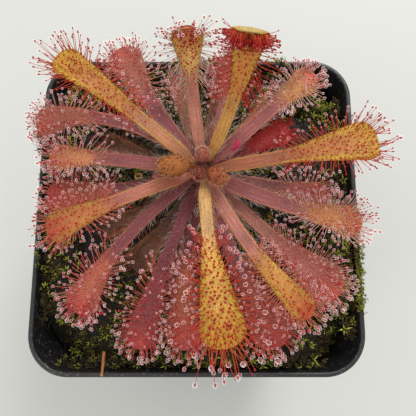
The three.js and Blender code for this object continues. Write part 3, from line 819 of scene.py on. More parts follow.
def make_tentacles(name, look, rng, material, dew):
    """One piece for a leaf's stalks, glands and hairs, and one for its drops."""
    leaf = leaves[name]
    roots, ways, lengths, bends, edge, near_tip = tentacles_of(leaf, look, rng)
    count = len(roots)
    foot, stalk, gland = (np.array(srgb(*look[key])) for key in ("foot", "stalk", "gland"))
    thick = look["thick"] * rng.uniform(0.85, 1.15, count) * blend(0.9, 1.0, edge)
    shafts, ends, aims = stalks(roots, ways, lengths, bends, thick, rings=4)
    redden = np.clip(edge * 0.9 + rng.uniform(-0.25, 0.25, count), 0, 1)[:, None]
    heads = beads(ends, aims, look["head"] * rng.uniform(0.85, 1.2, count), blend(1.3, 1.7, edge))
    hairs, hair_tint = petiole_hairs(leaf, look, rng)
    points, faces, tint = join(
        (*tubes(shafts), shaded(shafts, blend(foot, stalk, redden), stalk)),
        (*tubes(*heads), shaded(heads[0], gland * 1.3, gland)),
        (*tubes(hairs), hair_tint),
    )
    write(name + "_tentacles", points, faces, material, slot_of(name), tint=tint)
    if look["drop"] > 0:
        wet = rng.uniform(size=count) < blend(0.25, 0.9, edge)
        most = look["drop"] * blend(0.78, 1.0, near_tip)
        size = blend(look["inner_drop"], most, edge) * rng.uniform(0.78, 1.15, count)
        wet &= size > 0.8 * look["head"]
        drops = balls((ends + aims * 0.06)[wet], aims[wet], size[wet], blend(1.0, 1.12, edge[wet]),
                      rings=2, sides=7)
        write(name + "_dew", *tubes(drops), dew, slot_of(name))
    return count


def petiole_hairs(leaf, look, rng, count=84):
    """Fine pale hairs along both edges of the petiole, leaning forward and out."""
    distance = rng.uniform(1.5, leaf.petiole * 1.02, count)
    sign = rng.choice([-1.0, 1.0], count)[:, None]
    centre, ahead, side, up = leaf.frame(distance)
    roots = centre + side * sign * (0.47 * leaf.width(distance))[:, None]
    ways = unit(side * sign + ahead * rng.uniform(0.6, 3.2, (count, 1)) + up * rng.normal(0, 0.5, (count, 1)))
    bends = rng.normal(0, 0.09, (count, 3))
    shafts, _, _ = stalks(roots, ways, rng.uniform(0.9, 2.2, count), bends, np.full(count, 0.038), rings=3)
    tint = np.array(srgb(*look["hair"]))
    return shafts, shaded(shafts, tint * 0.8, tint)


def tinted_material(name, roughness, size, depth):
    """The mesh's own tint, varied by fine noise, with a slightly uneven surface."""
    graph = Graph(name)
    speckle = graph.noise(size, 3)
    colour = graph.mix(graph.tint(), (0.5, 0.45, 0.42), speckle.step(0.4, 0.8) * 0.45, "MULTIPLY")
    graph.bump(speckle, depth)
    return graph.finish(colour, speckle * 0.2 + roughness)


def dew_material():
    """Sticky slime: clear where one looks straight into a drop, and white towards its outline as a painted
    reflection of the bright room, glowing a little all over as painted light.
    """
    # Painted light: every drop glows a little, and its white outline is a painted reflection.
    graph = Graph("dew", Roughness=0.04, Specular_IOR_Level=1.0, Emission_Strength=0.55)
    clouds = graph.noise(0.8, 2)
    colour = graph.mix(srgb(255, 244, 242), srgb(250, 228, 226), clouds.step(0.35, 0.7))
    facing = graph.node("ShaderNodeLayerWeight", {}, {"Blend": 0.5}, 1)
    graph.put(graph.shader.inputs["Alpha"], facing.step(0.44, 0.82) * 0.94 + 0.04)
    graph.put(graph.shader.inputs["Emission Color"], colour)
    return graph.finish(colour)


tentacle_material = tinted_material("tentacle", 0.32, 0.3, 0.02)
dew = dew_material()
rng = np.random.default_rng(7)
total = 0
for name, look in LOOKS.items():
    if name not in BARE:
        total += make_tentacles(name, look, rng, tentacle_material, dew)
print("tentacles:", total)

# %% [markdown]
# ## Young leaves in the crown
# New leaves come up rolled into soft balls, wrapped in pale wool, with their tentacles still curled in. The
# ball could be a sculpt, but a tube that swells along the midrib keeps it in the solid's place. Wool and
# curled tentacles are thin stalks and small balls, set on the same surface.

# %% Young leaves
BUD_ROWS = {
    # name: heading, lift, arch, stalk, head, radius, colours of skin, wool and curled glands
    "young_leaf_left": (-172, 60, -70, 3.6, 7.2, 2.3, (206, 122, 54), (240, 178, 116), (96, 40, 24)),
    "young_leaf_right": (-43, 62, -55, 2.2, 4.9, 1.85, (196, 100, 54), (246, 182, 128), (120, 40, 26)),
    "young_leaf_back": (93, 82, -35, 1.4, 3.4, 1.45, (206, 104, 78), (250, 196, 170), (184, 60, 50)),
    "young_leaf_front": (-108, 75, -40, 1.6, 3, 1.35, (140, 50, 38), (234, 160, 132), (150, 40, 34)),
}
BUD_FOOT = 0.9  # from the stem's axis to a stalk's foot


class Bud(Leaf):
    """A rolled leaf: a stalk, then a head whose radius is radius * sqrt(1 - (2t - 1)^2) at a share t."""

    def __init__(self, name, heading, lift, arch, stalk, head, radius):
        super().__init__(name, (0, heading, lift, arch, 0, 0, stalk, head, 0, 0, 0))
        turn = math.radians(heading)
        inward = (BUD_FOOT - LEAF_START) * np.array([math.cos(turn), math.sin(turn)])
        self.shift = np.array([*inward, 1.1])
        self.radius = radius

    def skin(self, distance, angle):
        """Points of the surface, the directions in which it faces, and the way to the tip."""
        centre, ahead, side, up = self.frame(distance)
        share = self.along(distance)
        size = np.maximum(0.42, self.radius * np.sqrt(np.clip(1 - (2 * share - 1) ** 2, 0, 1)))
        out = side * np.cos(angle)[..., None] + up * np.sin(angle)[..., None]
        points = centre + self.shift + out * size[..., None]
        points = points + out * (lumps(points, 0.7, seed=5, layers=2) * 0.13)[..., None]
        return points, unit(out + ahead * (1.5 * share - 0.6)[..., None]), ahead


def make_bud(name, row, rng):
    heading, lift, arch, stalk, head, radius, skin, wool, gland = row
    bud = Bud(name, heading, lift, arch, stalk, head, radius)
    share = (1 - np.cos(np.linspace(0.12, math.pi - 0.12, 26))) / 2
    distance = np.concatenate([np.linspace(0, 0.9, 5) * stalk, stalk + share * head])
    angle = np.linspace(0, 2 * math.pi, 25)[:-1]
    grid, turn = np.meshgrid(distance, angle, indexing="ij")
    body = bud.skin(grid, turn)[0][None]
    wools = 640
    roots, out, ahead = bud.skin(stalk + head * rng.uniform(0.02, 0.96, wools),
                                 rng.uniform(0, 2 * math.pi, wools))
    ways = unit(0.3 * out + ahead + rng.normal(0, 0.2, (wools, 3)))
    hair, _, _ = stalks(roots, ways, rng.uniform(0.5, 1.0, wools), rng.normal(0, 0.25, (wools, 3)),
                        np.full(wools, 0.045), rings=3)
    dots = int(44 * radius)
    feet, out, _ = bud.skin(stalk + head * rng.uniform(0.25, 1, dots), rng.uniform(0, 2 * math.pi, dots))
    heads = beads(feet + out * 0.2, out, rng.uniform(0.1, 0.19, dots), 1.2)
    skin, wool, gland = (np.array(srgb(*colour)) for colour in (skin, wool, gland))
    points, faces, tint = join(
        (*tubes(body), shaded(body, skin * 0.45, skin)),
        (*tubes(hair), shaded(hair, skin * 0.6, wool)),
        (*tubes(*heads), shaded(heads[0], gland, gland * 1.4)),
    )
    write(name + "_wool", points, faces, bud_material, slot_of(name), [name], tint=tint)


bud_material = tinted_material("young_leaf", 0.6, 0.35, 0.05)
for name, row in BUD_ROWS.items():
    make_bud(name, row, rng)
print("young leaves:", len(BUD_ROWS))

# %% [markdown]
# ## Stem
# The rosette sits on a short stem, rough with the feet of old leaves and brown wool. Little of it shows, so a
# turned profile with lumps is enough, and threads of wool stand off it all round.

# %% Stem
SOIL_LEVEL = POT_HEIGHT - 4.5
STEM_RADIUS = 1.8


def make_stem(rng):
    height = np.linspace(SOIL_LEVEL - 5, CROWN_TOP + 0.6, 40)
    top = smooth(CROWN_TOP - 1.2, CROWN_TOP + 0.7, height)
    radius = STEM_RADIUS * np.sqrt(1 - 0.97 * top)
    centre = np.stack(np.broadcast_arrays(*CROWN, height), -1)[None]
    body = round_rings(centre, np.broadcast_to([0, 0, 1.0], centre.shape), radius[None], 24)
    bumps = lumps(body, 0.8, seed=9) * 0.16
    body[..., :2] += (body[..., :2] - CROWN) / np.maximum(radius, 0.2)[None, :, None, None] * bumps[..., None]
    count = 420
    turn = rng.uniform(0, 2 * math.pi, count)
    out = np.stack([np.cos(turn), np.sin(turn), 0 * turn], 1)
    roots = np.array([*CROWN, 0]) + out * STEM_RADIUS * 0.95
    roots[:, 2] = rng.uniform(SOIL_LEVEL, CROWN_TOP, count)
    ways = unit(out + [0, 0, 0.5] + rng.normal(0, 0.3, (count, 3)))
    wool, _, _ = stalks(roots, ways, rng.uniform(0.6, 1.8, count), rng.normal(0, 0.2, (count, 3)),
                        np.full(count, 0.06), rings=4)
    bark, pale = np.array(srgb(84, 44, 34)), np.array(srgb(206, 160, 130))
    points, faces, tint = join((*tubes(body), shaded(body, bark, bark * 1.2)),
                               (*tubes(wool), shaded(wool, bark, pale)))
    write("stem_wool", points, faces, bark_material, slot_of("stem"), ["stem"], tint=tint)


bark_material = tinted_material("bark", 0.7, 0.5, 0.1)
make_stem(rng)

# %% [markdown]
# ## The pot
# A nursery pot is thin black plastic, moulded in one piece: a tapered square with round corners, a rim that
# folds over into a skirt, and holes in its floor. It could be a box with a bevel, but a profile carried round
# a rounded square gives every fold its true shape. The holes are cut last, by a boolean.

# %% Pot
RIM_HALF, RIM_CORNER, RIM_TOP = 40.0, 9.9, 1.1
FOOT_HALF, FOOT_CORNER = 29.0, 7.0
WALL, FLOOR, SKIRT_FOOT, FOLD = 0.8, 2.4, 62.0, 68.4
INNER_TOP = RIM_HALF - RIM_TOP


def inner_half(height):
    """Half the width inside the wall, which tapers evenly."""
    return blend(FOOT_HALF - WALL, INNER_TOP, height / POT_HEIGHT)


def wall_corner(height):
    return blend(FOOT_CORNER, RIM_CORNER - RIM_TOP, height / POT_HEIGHT)


def within(points, gap=0.35):
    """The points moved, where they are below the rim, to stay inside the wall by a gap. Past the straight
    part of the rounded square only what reaches over the corner's centre is shortened to its radius."""
    height = points[..., 2:]
    free = height > POT_HEIGHT + 0.3
    half = np.where(free, 60, inner_half(np.minimum(height, POT_HEIGHT)) - gap)
    corner = np.where(free, 20, wall_corner(np.minimum(height, POT_HEIGHT)) - gap)
    flat = np.abs(points[..., :2])
    over = np.maximum(flat - (half - corner), 0)
    reach = np.linalg.norm(over, axis=-1, keepdims=True)
    over = over * np.minimum(1, corner / np.maximum(reach, 1e-9))
    flat = np.minimum(flat, half - corner) + over
    return np.concatenate([np.sign(points[..., :2]) * flat, height], axis=-1)


def square_rings(half, corner, height, steps=14, parts=1):
    """Level squares with round corners, anticlockwise, one for each half-width, corner radius and height.
    A point is centre*(half - corner) + way*corner, where way turns through the corner, and keeps square to
    the side along the straight stretches, which are cut into equal parts."""
    turn = np.linspace(0, math.pi / 2, steps + 1)
    share = np.linspace(0, 1, parts + 1)[1:-1]
    ways = np.concatenate([np.stack([np.cos(turn), np.sin(turn)], 1), np.tile([0.0, 1.0], (len(share), 1))])
    centres = np.concatenate([np.ones((steps + 1, 2)), np.stack([1 - 2 * share, np.ones_like(share)], 1)])
    quarter = [np.array([[1, 0], [0, 1]]), np.array([[0, 1], [-1, 0]]),
               -np.eye(2), np.array([[0, -1], [1, 0]])]
    ways = np.concatenate([ways @ q for q in quarter])
    centres = np.concatenate([centres @ q for q in quarter])
    half, corner, height = (np.reshape(v, (-1, 1, 1)) for v in np.broadcast_arrays(half, corner, height))
    flat = centres * (half - corner) + ways * corner
    return np.concatenate([flat, np.broadcast_to(height, (*flat.shape[:2], 1))], axis=2)


def rounded(profile, radius=0.25, steps=3):
    """The profile with each inner point replaced by a short curve through its neighbourhood."""
    profile = np.array(profile, float)
    before, here, after = profile[:-2], profile[1:-1], profile[2:]
    ends = []
    for leg in (before - here, after - here):
        length = np.linalg.norm(leg[:, [0, 2]], axis=1, keepdims=True)
        ends.append(here + leg * np.minimum(radius, 0.45 * length) / length)
    start, stop = ends
    t = np.linspace(0, 1, steps + 1)[None, :, None]
    curve = start[:, None] * (1 - t) ** 2 + here[:, None] * 2 * t * (1 - t) + stop[:, None] * t**2
    return np.concatenate([profile[:1], curve.reshape(-1, 3), profile[-1:]])


def make_pot():
    outer = lambda height: inner_half(height) + WALL
    rows = [
        # half-width, corner radius, height: the underside, the outside, the fold, the skirt, the inside
        (12.0, 4.0, 0.0),
        (FOOT_HALF, FOOT_CORNER, 0.0),
        (outer(24), wall_corner(24) + WALL, 24.0),
        (outer(44), wall_corner(44) + WALL, 44.0),
        (outer(SKIRT_FOOT), wall_corner(SKIRT_FOOT) + WALL, SKIRT_FOOT),
        (outer(FOLD) - 0.4, wall_corner(FOLD) + WALL, FOLD),
        (RIM_HALF - WALL, RIM_CORNER - WALL, FOLD),
        (RIM_HALF - WALL - 0.2, RIM_CORNER - WALL, SKIRT_FOOT),
        (RIM_HALF - 0.2, RIM_CORNER, SKIRT_FOOT),
        (RIM_HALF, RIM_CORNER, POT_HEIGHT - 1.5),
        (RIM_HALF, RIM_CORNER, POT_HEIGHT),
        (INNER_TOP, RIM_CORNER - RIM_TOP, POT_HEIGHT),
        (inner_half(50), wall_corner(50), 50.0),
        (inner_half(FLOOR), wall_corner(FLOOR), FLOOR),
        (12.0, 4.0, FLOOR),
    ]
    half, corner, height = rounded(rows, 0.4, 4).T
    shell = write("pot_shell", *tubes(square_rings(half, corner, height)[None]),
                  pot_material(), slot_of("pot"), ["pot"])
    ways = np.array([[x, y] for x in (-1.0, 1.0) for y in (-1.0, 1.0)])
    feet = np.concatenate([ways * 18, np.full((4, 1), -5.0)], axis=1)
    centre = np.stack([feet, feet + [0, 0, 12.0]], axis=1)
    upward = np.broadcast_to([0, 0, 1.0], centre.shape)
    holes = round_rings(centre, upward, np.full((4, 2), 4.0), 40)
    mesh = bpy.data.meshes.new("drill")
    points, faces = tubes(holes)
    mesh.from_pydata((points * MM).tolist(), [], faces.tolist())
    drill = bpy.data.objects.new("drill", mesh)
    bpy.context.scene.collection.objects.link(drill)
    cut = shell.modifiers.new("holes", "BOOLEAN")
    cut.object, cut.operation, cut.solver = drill, "DIFFERENCE", "EXACT"
    ready = shell.evaluated_get(bpy.context.evaluated_depsgraph_get())
    drilled = bpy.data.meshes.new_from_object(ready)
    shell.modifiers.clear()
    shell.data = drilled
    bpy.data.objects.remove(drill)
    drilled.set_sharp_from_angle(angle=math.radians(40))
    print("pot faces:", len(drilled.polygons))


def pot_material():
    """Black moulded plastic: a dull sheen, fine scuffs that run along, and pale dust towards the soil."""
    graph = Graph("black_plastic", Coat_Weight=0.25, Coat_Roughness=0.35, Specular_IOR_Level=0.6)
    place = graph.place()
    stretched = graph.node("ShaderNodeVectorMath", {"operation": "MULTIPLY"}, {0: place, 1: (1, 1, 9)})
    scuffs = graph.noise(1.2, 5, at=stretched, rough=0.7)
    clouds = graph.noise(9, 4)
    specks = graph.noise(0.35, 2).step(0.6, 0.68) * clouds.step(0.3, 0.7)
    height = graph.node("ShaderNodeSeparateXYZ", {}, {0: place}, 2)
    dusty = height.step(0.050, 0.064) * 0.55 + 0.15
    base = graph.mix(srgb(24, 24, 29), srgb(46, 46, 52), scuffs.step(0.45, 0.8) * 0.6)
    base = graph.mix(base, srgb(140, 138, 132), specks * dusty)
    base = graph.mix(base, srgb(66, 62, 54), clouds.step(0.45, 0.8) * dusty * 0.5)
    graph.bump(scuffs + graph.noise(0.15, 2) * 0.5, 0.03)
    return graph.finish(base, scuffs * 0.25 + 0.28)


make_pot()

# %% [markdown]
# ## Soil
# The pot is filled with dark, damp peat, slightly mounded round the stem and sunk in three corners. Its
# surface is a height worked out from the place, with lumps added. Crumbs and fibres lie on it, because at
# this distance a smooth surface with only a bump in its material would look like cloth.

# %% Soil
HOLLOWS = ((-36, -37, 8, 10), (37, -36, 8, 10), (37, 36, 5, 8))  # x, y, depth, radius


def soil_height(x, y):
    """A level, a bell-shaped mound at the stem, soft waves, and a bell-shaped hollow in three corners."""
    away = np.hypot(x - CROWN[0], y - CROWN[1]) / 15
    wave = np.sin(0.42 * x + 1.3) * np.cos(0.37 * y) + 0.5 * np.sin(0.9 * y - 0.5 * x)
    height = SOIL_LEVEL + 1.6 * np.exp(-(away**2)) + 0.45 * wave
    for at_x, at_y, depth, radius in HOLLOWS:
        height = height - depth * np.exp(-((x - at_x) ** 2 + (y - at_y) ** 2) / radius**2)
    return height


def soil_points(share, edge):
    """Points of the surface at a share of the way from the middle to the edge of the soil."""
    flat = edge[..., :2] * share[..., None]
    place = np.concatenate([flat, 0 * flat[..., :1]], axis=-1)
    rough = lumps(place, 2.2, seed=11, layers=4) * 0.42 * np.minimum(1, (1 - share) * 14 + 0.2)
    height = soil_height(flat[..., 0], flat[..., 1]) + rough
    return np.concatenate([flat, height[..., None]], axis=-1)


def make_soil(rng):
    edge = square_rings(inner_half(SOIL_LEVEL) - 0.35, wall_corner(SOIL_LEVEL), 0, steps=12, parts=50)[0]
    share = np.linspace(1, 0.02, 84)
    top = soil_points(np.broadcast_to(share[:, None], (len(share), len(edge))), edge[None])
    low = np.array([2.9, 4.0, 40.0])
    side = square_rings(inner_half(low) - [1.4, 0.4, 0.4], wall_corner(low), low, steps=12, parts=50)
    body = np.concatenate([side, top])[None]
    body = within(body)
    count = 2400
    spots = soil_points(np.sqrt(rng.uniform(0, 1, count)), edge[rng.integers(0, len(edge), count)])
    crumbs = beads(spots, unit(rng.normal(0, 1, (count, 3))),
                   rng.uniform(0.12, 0.5, count) ** 1.2, 1.5, sides=5)
    fibres = 1500
    spots = soil_points(np.sqrt(rng.uniform(0, 1, fibres)) * 0.98, edge[rng.integers(0, len(edge), fibres)])
    ways = unit(rng.normal(0, 1, (fibres, 3)) * [1, 1, 0.35])
    threads, _, _ = stalks(spots + [0, 0, 0.25], ways, rng.uniform(1.0, 3.6, fibres),
                           rng.normal(0, 0.3, (fibres, 3)), rng.uniform(0.05, 0.11, fibres), rings=4)
    dark = np.array([srgb(34, 29, 23), srgb(52, 42, 30), srgb(70, 56, 40), srgb(28, 26, 24)])
    straw = np.array([srgb(74, 62, 42), srgb(108, 92, 58), srgb(58, 48, 34), srgb(96, 100, 52),
                      srgb(140, 112, 74)])
    crumb_tint = dark[rng.integers(0, len(dark), count)]
    straw_tint = straw[rng.integers(0, len(straw), fibres)]
    points, faces, tint = join(
        (*tubes(body), shaded(body, dark[0], dark[0])),
        (*tubes(*crumbs), shaded(crumbs[0], crumb_tint, crumb_tint)),
        (*tubes(within(threads, 0.3)), shaded(threads, straw_tint * 0.7, straw_tint)),
    )
    write("peat", points, faces, soil_material, slot_of("soil"), ["soil"], tint=tint)
    print("soil faces:", len(faces))


def earthy_material(name, size, roughness, dark):
    """The mesh's own tint, broken up by dark pores and pale grains, damp in patches."""
    graph = Graph(name)
    pores = graph.noise(size, 5, rough=0.7)
    grains = graph.noise(0.3 * size, 3).step(0.6, 0.7)
    base = graph.mix(graph.tint(), (dark, dark, 0.9 * dark), pores.step(0.42, 0.62) * 0.7, "MULTIPLY")
    base = graph.mix(base, (1.7, 1.55, 1.25), grains * 0.7, "MULTIPLY")
    graph.bump(pores + grains * 0.4, 0.35)
    return graph.finish(base, graph.noise(6, 2) * 0.5 + roughness)


soil_material = earthy_material("damp_peat", 0.9, 0.45, 0.3)
make_soil(rng)

# %% [markdown]
# ## Moss
# Cushions of moss have grown along the wall and over the rim. Up close a cushion is a crowd of little stars:
# each shoot carries a whorl of pointed leaflets, olive and brown below and yellow-green at the lit tips.
# The cushion is a lumpy dome on the soil. Each leaflet is a spindle of six faces, so thousands are cheap.

# %% Moss
MOSS_ROWS = {
    # name: x, y, half length, half width, turn, height of the crest above the rim, greenness
    "moss_rim_left": (-38.6, 18.7, 6.4, 4.2, 90, 1.7, 0.75),
    "moss_back_left": (-28, 30.5, 7.6, 5.6, 25, -1.2, 0.8),
    "moss_back": (-11, 27.4, 7.2, 5.6, 0, -1.4, 0.9),
    "moss_rim_back": (2.2, 38.4, 15.5, 3.5, 0, 1.5, 0.6),
    "moss_back_right": (27, 31.5, 7.6, 4.6, -15, -1.4, 0.7),
    "moss_right": (34, -12, 14, 4.6, 90, -0.8, 1.0),
    "moss_front_right": (25.5, -31.5, 8.5, 5.6, 12, -1.4, 0.35),
    "moss_front": (4.4, -34, 12, 4.4, 0, -1.8, 0.55),
    "moss_front_left": (-22.5, -29, 9, 6.2, -12, -2, 0.3),
    "moss_left": (-33.6, -15, 13, 4.2, 90, -1.2, 0.35),
}
MOSS_GREENS = ((50, 38, 26), (104, 84, 44), (144, 134, 60), (172, 178, 60), (206, 218, 88))
LEAFLETS = 6


def cushion(row, share, angle):
    """Points of a cushion's surface at a share from its middle and an angle. Its height over the soil is
    0.9 + rise * (1 - share^2.4)^0.8, with lumps, and it stays inside the wall where it is below the rim."""
    x, y, long, wide, turn, crest, _ = row
    wobble = 1 + 0.07 * np.sin(3 * angle + x) + 0.05 * np.sin(5 * angle + y)
    across, along = share * wobble * wide * np.sin(angle), share * wobble * long * np.cos(angle)
    turn = math.radians(turn)
    flat_x = x + along * math.cos(turn) - across * math.sin(turn)
    flat_y = y + along * math.sin(turn) + across * math.cos(turn)
    rise = POT_HEIGHT + crest - soil_height(x, y) - 0.9
    height = soil_height(flat_x, flat_y) + 0.9 + rise * np.clip(1 - share**2.4, 0, 1) ** 0.8
    points = np.stack([flat_x, flat_y, height], -1)
    rough = lumps(points * [1, 1, 0], 2.4, seed=21, layers=3) * 0.55
    points[..., 2] += rough * np.clip(1.2 - share, 0, 1)
    return within(points)


def shoots(feet, ups, sizes, colours, rng):
    """Stars of pointed leaflets. A leaflet is a spindle: a pole, one ring of three points, and a pole."""
    count = len(feet)
    turn = np.linspace(0, 2 * math.pi, LEAFLETS, endpoint=False) + rng.uniform(0, 6.3, (count, 1))
    turn = turn + rng.normal(0, 0.25, turn.shape)
    rise = rng.uniform(0.1, 1.2, turn.shape)
    first = unit(np.cross(ups, [0.3, 1.0, 0.1]))
    second = np.cross(ups, first)
    flat = np.cos(turn)[..., None] * first[:, None] + np.sin(turn)[..., None] * second[:, None]
    ways = (flat * np.cos(rise)[..., None] + ups[:, None] * np.sin(rise)[..., None]).reshape(-1, 3)
    ways = unit(ways)
    length = np.repeat(sizes, LEAFLETS) * rng.uniform(0.7, 1.2, count * LEAFLETS)
    roots = np.repeat(feet, LEAFLETS, axis=0)
    middle = roots + ways * (0.4 * length)[:, None]
    rings = within(round_rings(middle[:, None], ways[:, None], (0.16 * length)[:, None], 3), 0.3)
    ends = within(np.stack([roots, roots + ways * length[:, None]], axis=1), 0.3)
    colours = np.repeat(colours, LEAFLETS, axis=0)
    # Each leaflet is darkened towards its root and brightened past its colour at its tip: painted shade deep
    # in the star, painted light on the tips.
    tint = [np.repeat(colours[:, None] * 0.8, 3, axis=1), colours[:, None] * 0.35, colours[:, None] * 1.5]
    return *tubes(rings, ends), np.concatenate(tint, 1).reshape(-1, 3)


def moss_growth(count, green, rng):
    """Colours and sizes. Most shoots are small and brown or olive. A share of 0.05 + 0.24 * greenness of
    them is larger and bright."""
    scale = np.array([srgb(*colour) for colour in MOSS_GREENS])
    fresh = rng.uniform(size=count) < 0.05 + 0.24 * green
    level = np.where(fresh, rng.uniform(1.8, 3.999, count), rng.beta(1.3, 1.6, count) * (0.9 + 1.4 * green))
    low = level.astype(int)
    sizes = np.where(fresh, rng.uniform(0.8, 1.9, count), rng.uniform(0.5, 1.2, count))
    return blend(scale[low], scale[low + 1], (level - low)[:, None]), sizes


def make_moss(name, row, rng):
    share = np.concatenate([np.linspace(0.1, 1, 8), np.linspace(1, 0.04, 22)])
    angle = np.linspace(0, 2 * math.pi, 61)[:-1]
    grid, turn = np.meshgrid(share, angle, indexing="ij")
    body = cushion(row, grid, turn)
    body[:8, :, 2] = soil_height(body[:8, :, 0], body[:8, :, 1]) - 0.6
    body = within(body)
    count = int(3.9 * row[2] * row[3] * math.pi / 2)
    feet = cushion(row, np.sqrt(rng.uniform(0, 1.25, count)), rng.uniform(0, 2 * math.pi, count))
    ups = unit(rng.normal(0, 0.35, (count, 3)) + [0, 0, 1])
    green = row[6]
    colours, sizes = moss_growth(count, green, rng)
    stars = shoots(feet, ups, sizes, colours, rng)
    threads = count
    roots = cushion(row, np.sqrt(rng.uniform(0, 1, threads)), rng.uniform(0, 2 * math.pi, threads))
    ways = unit(rng.normal(0, 1, (threads, 3)) + [0, 0, 0.6])
    strands, _, _ = stalks(roots, ways, rng.uniform(0.8, 2.2, threads), rng.normal(0, 0.35, (threads, 3)),
                           np.full(threads, 0.06), rings=3)
    strand_tint, _ = moss_growth(threads, green * 0.7, rng)
    base = np.array(srgb(*MOSS_GREENS[0])) * (0.3 + 0.9 * green)
    points, faces, tint = join(
        (*tubes(body[None]), shaded(body[None], base * 0.6, base)),
        stars,
        (*tubes(within(strands, 0.3)), shaded(strands, strand_tint * 0.6, strand_tint)),
    )
    write(name + "_cushion", points, faces, moss_material, slot_of(name), [name], tint=tint)
    return count


moss_material = earthy_material("moss", 0.7, 0.55, 0.5)
count = sum(make_moss(name, row, rng) for name, row in MOSS_ROWS.items())
print("moss shoots:", count)

# %% [markdown]
# ## Sparse shoots and bits
# Between the cushions single shoots come up through the peat. A cut flower stalk, a dry twig and an empty
# husk lie there too. Each is a short tube or ring with a rough skin. The husk takes its place from its
# solid's box, and the sticks repeat the end points of theirs. More shoots hang over the wall in lines.

# %% Sparse shoots and bits


def make_sparse_shoots(rng, count=5200):
    flat = rng.uniform(-37, 37, (count, 2))
    keep = lumps(np.concatenate([flat, np.zeros((count, 1))], 1), 9, seed=31, layers=2) > -0.45
    keep &= np.hypot(*(np.abs(flat) - 29).clip(0).T) < 7.5
    flat = flat[keep]
    height = soil_height(flat[:, 0], flat[:, 1]) + 0.2
    feet = np.concatenate([flat, height[:, None]], axis=1)
    count = len(feet)
    ups = unit(rng.normal(0, 0.4, (count, 3)) + [0, 0, 1])
    colours, sizes = moss_growth(count, 0.95, rng)
    stars = shoots(feet, ups, sizes, colours, rng)
    write("sparse_shoots", stars[0], stars[1], moss_material, slot_of("moss_back"), tint=stars[2])
    print("sparse shoots:", count)


def make_stick(name, start, stop, radius, colours, bend):
    """A stick between two points whose middle bows by bend, with a rough skin and a pale, wider cut end."""
    q = np.linspace(0, 1, 16)
    centre = blend(np.array(start), np.array(stop), q[:, None]) + np.outer(4 * q * (1 - q), bend)
    ahead = unit(np.gradient(centre, axis=0))
    size = radius * (1 + 0.12 * smooth(0.85, 1, q) - 0.15 * q)
    rings = round_rings(centre[None], ahead[None], size[None], 14)
    rings = rings + lumps(rings, 0.9, seed=41, layers=2)[..., None] * 0.08 * radius
    body, cut = (np.array(srgb(*colour)) for colour in colours)
    share = smooth(0.8, 0.95, q)[None, :, None, None]
    tint = np.broadcast_to(blend(body, cut, share), (1, 16, 14, 3)).reshape(-1, 3)
    tint = np.concatenate([tint, [body], [cut]])
    write(name + "_bark", *tubes(rings), bark_material, slot_of(name), [name], tint=tint)


def make_husk():
    """An empty husk: a pale ring, open in the middle."""
    low, high = (np.array(corner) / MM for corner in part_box("seed_husk"))
    turn = np.linspace(0, 2 * math.pi, 33)
    way = np.stack([np.cos(turn), np.sin(turn), 0.2 * np.cos(turn)], 1)
    centre = (low + high) / 2 + way * [0.85, 0.65, 1.0]
    ahead = unit(np.gradient(centre, axis=0))
    ring = round_rings(centre[None], ahead[None], np.full((1, 33), 0.3), 10)
    ring = ring + lumps(ring, 0.6, seed=51)[..., None] * 0.05
    colour = np.array(srgb(222, 172, 96))
    write("husk_skin", *tubes(ring), bark_material, slot_of("seed_husk"), ["seed_husk"],
          tint=shaded(ring, colour, colour))


VERGES = (
    # from, to, spread, count, greenness: moss that hangs over the wall or the rim along a line
    ((-31, -36.9, 67.6), (31, -36.9, 67.6), 0.9, 330, 0.45),
    ((36.8, -31, 67.8), (37.2, -4, 68.4), 0.9, 200, 0.7),
    ((37, 2, 67.6), (36.8, 30, 66.6), 0.9, 190, 0.35),
    ((18, 36.9, 67.6), (33, 36.4, 66.6), 0.9, 120, 0.4),
    ((39.2, -25, 70.5), (39.3, -7, 70.6), 0.5, 330, 0.95),
    ((-38.9, -16, 70.4), (-39.0, 12, 70.5), 0.4, 90, 0.3),
    ((-36.9, -28, 67.6), (-36.9, 12, 68.2), 0.8, 190, 0.35),
    ((17, 39.3, 70.8), (23, 39.8, 70.6), 0.6, 30, 1.0),
)


def make_verges(rng):
    feet, greens, sizes = [], [], []
    for start, stop, spread, count, green in VERGES:
        along = rng.uniform(0, 1, (count, 1))
        place = blend(np.array(start), np.array(stop), along)
        place = place + rng.normal(0, spread, (count, 3)) * [1, 1, 0.35]
        ceiling = start[2] > POT_HEIGHT
        place[:, 2] = np.maximum(place[:, 2], POT_HEIGHT + 0.31) if ceiling else place[:, 2]
        place = within(place, 0.6)
        feet.append(place)
        colours, size = moss_growth(count, green, rng)
        greens.append(colours)
        sizes.append(size * (0.6 if ceiling else 1))
    feet, greens = np.concatenate(feet), np.concatenate(greens)
    count = len(feet)
    ups = unit(rng.normal(0, 0.45, (count, 3)) + [0, 0, 1])
    stars = shoots(feet, ups, np.concatenate(sizes), greens, rng)
    write("verge_shoots", stars[0], stars[1], moss_material, slot_of("moss_left"), tint=stars[2])


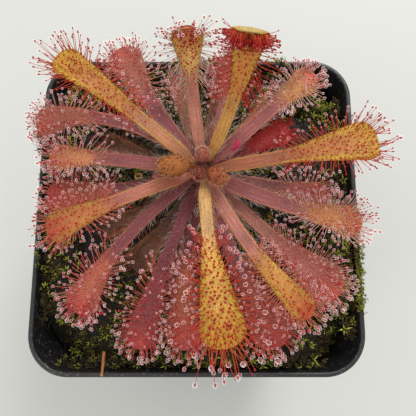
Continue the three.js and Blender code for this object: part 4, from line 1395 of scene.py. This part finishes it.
def make_curl(rng, hairs=160):
    """A crimson curled shoot on the petiole beside the red leaf, with pale wool."""
    q = np.linspace(0, 1, 22)
    turn = 4.2 * q
    spiral = [1.7 * q + 0.5 * np.sin(turn), 1.1 * q - 0.45 * np.cos(turn), 0.8 * np.sin(3.1 * q)]
    centre = np.array([8.3, 12.5, 79.7]) + np.stack(spiral, 1)
    ahead = unit(np.gradient(centre, axis=0))
    size = 0.62 * np.sqrt(np.clip(4 * q * (1 - q), 0.04, 1))
    body = round_rings(centre[None], ahead[None], size[None], 12)
    pick = rng.integers(2, 20, hairs)
    out = unit(rng.normal(0, 1, (hairs, 3)) + [0, 0, 0.6])
    wool, _, _ = stalks(centre[pick] + out * size[pick][:, None] * 0.8, out, rng.uniform(0.3, 0.8, hairs),
                        rng.normal(0, 0.25, (hairs, 3)), np.full(hairs, 0.045), rings=3)
    red, pale = np.array(srgb(206, 36, 84)), np.array(srgb(242, 150, 168))
    points, faces, tint = join((*tubes(body), shaded(body, red, red)),
                               (*tubes(wool), shaded(wool, red, pale)))
    write("crimson_curl", points, faces, bud_material, slot_of("leaf_right_red"), tint=tint)


make_sparse_shoots(rng)
make_verges(rng)
make_curl(rng)
make_stick("dry_stalk", (21.6, 18.4, 66.8), (24.4, 25.2, 73), 0.75,
           ((116, 50, 40), (206, 170, 110)), (0.2, 0, 0.1))
make_stick("twig", (-22, -34.4, 69), (-21.8, -39.5, 71.3), 0.35,
           ((176, 112, 62), (196, 134, 78)), (0.1, 0, 0.2))
make_husk()

# %% [markdown]
# ## Floor and measures
# The pot needs something to stand on. A modelled table would draw the eye, so one flat pale square is enough.
# It isn't part of the object. At the end the faces of all meshes are counted and printed.

# %% Finish
floor_material = Graph("table", Roughness=0.7)
floor_mesh = bpy.data.meshes.new("floor")
reach = 3.0
corners = [(-reach, -reach, 0), (reach, -reach, 0), (reach, reach, 0), (-reach, reach, 0)]
floor_mesh.from_pydata(corners, [], [(0, 1, 2, 3)])
floor = bpy.data.objects.new("floor", floor_mesh)
bpy.context.scene.collection.objects.link(floor)
paper = floor_material.noise(40, 3)
paper = floor_material.mix(srgb(226, 227, 222), srgb(231, 232, 227), paper)
floor_mesh.materials.append(floor_material.finish(paper))

faces = sum(len(o.data.polygons) for o in bpy.data.objects if o.type == "MESH")
print("faces in all:", faces)
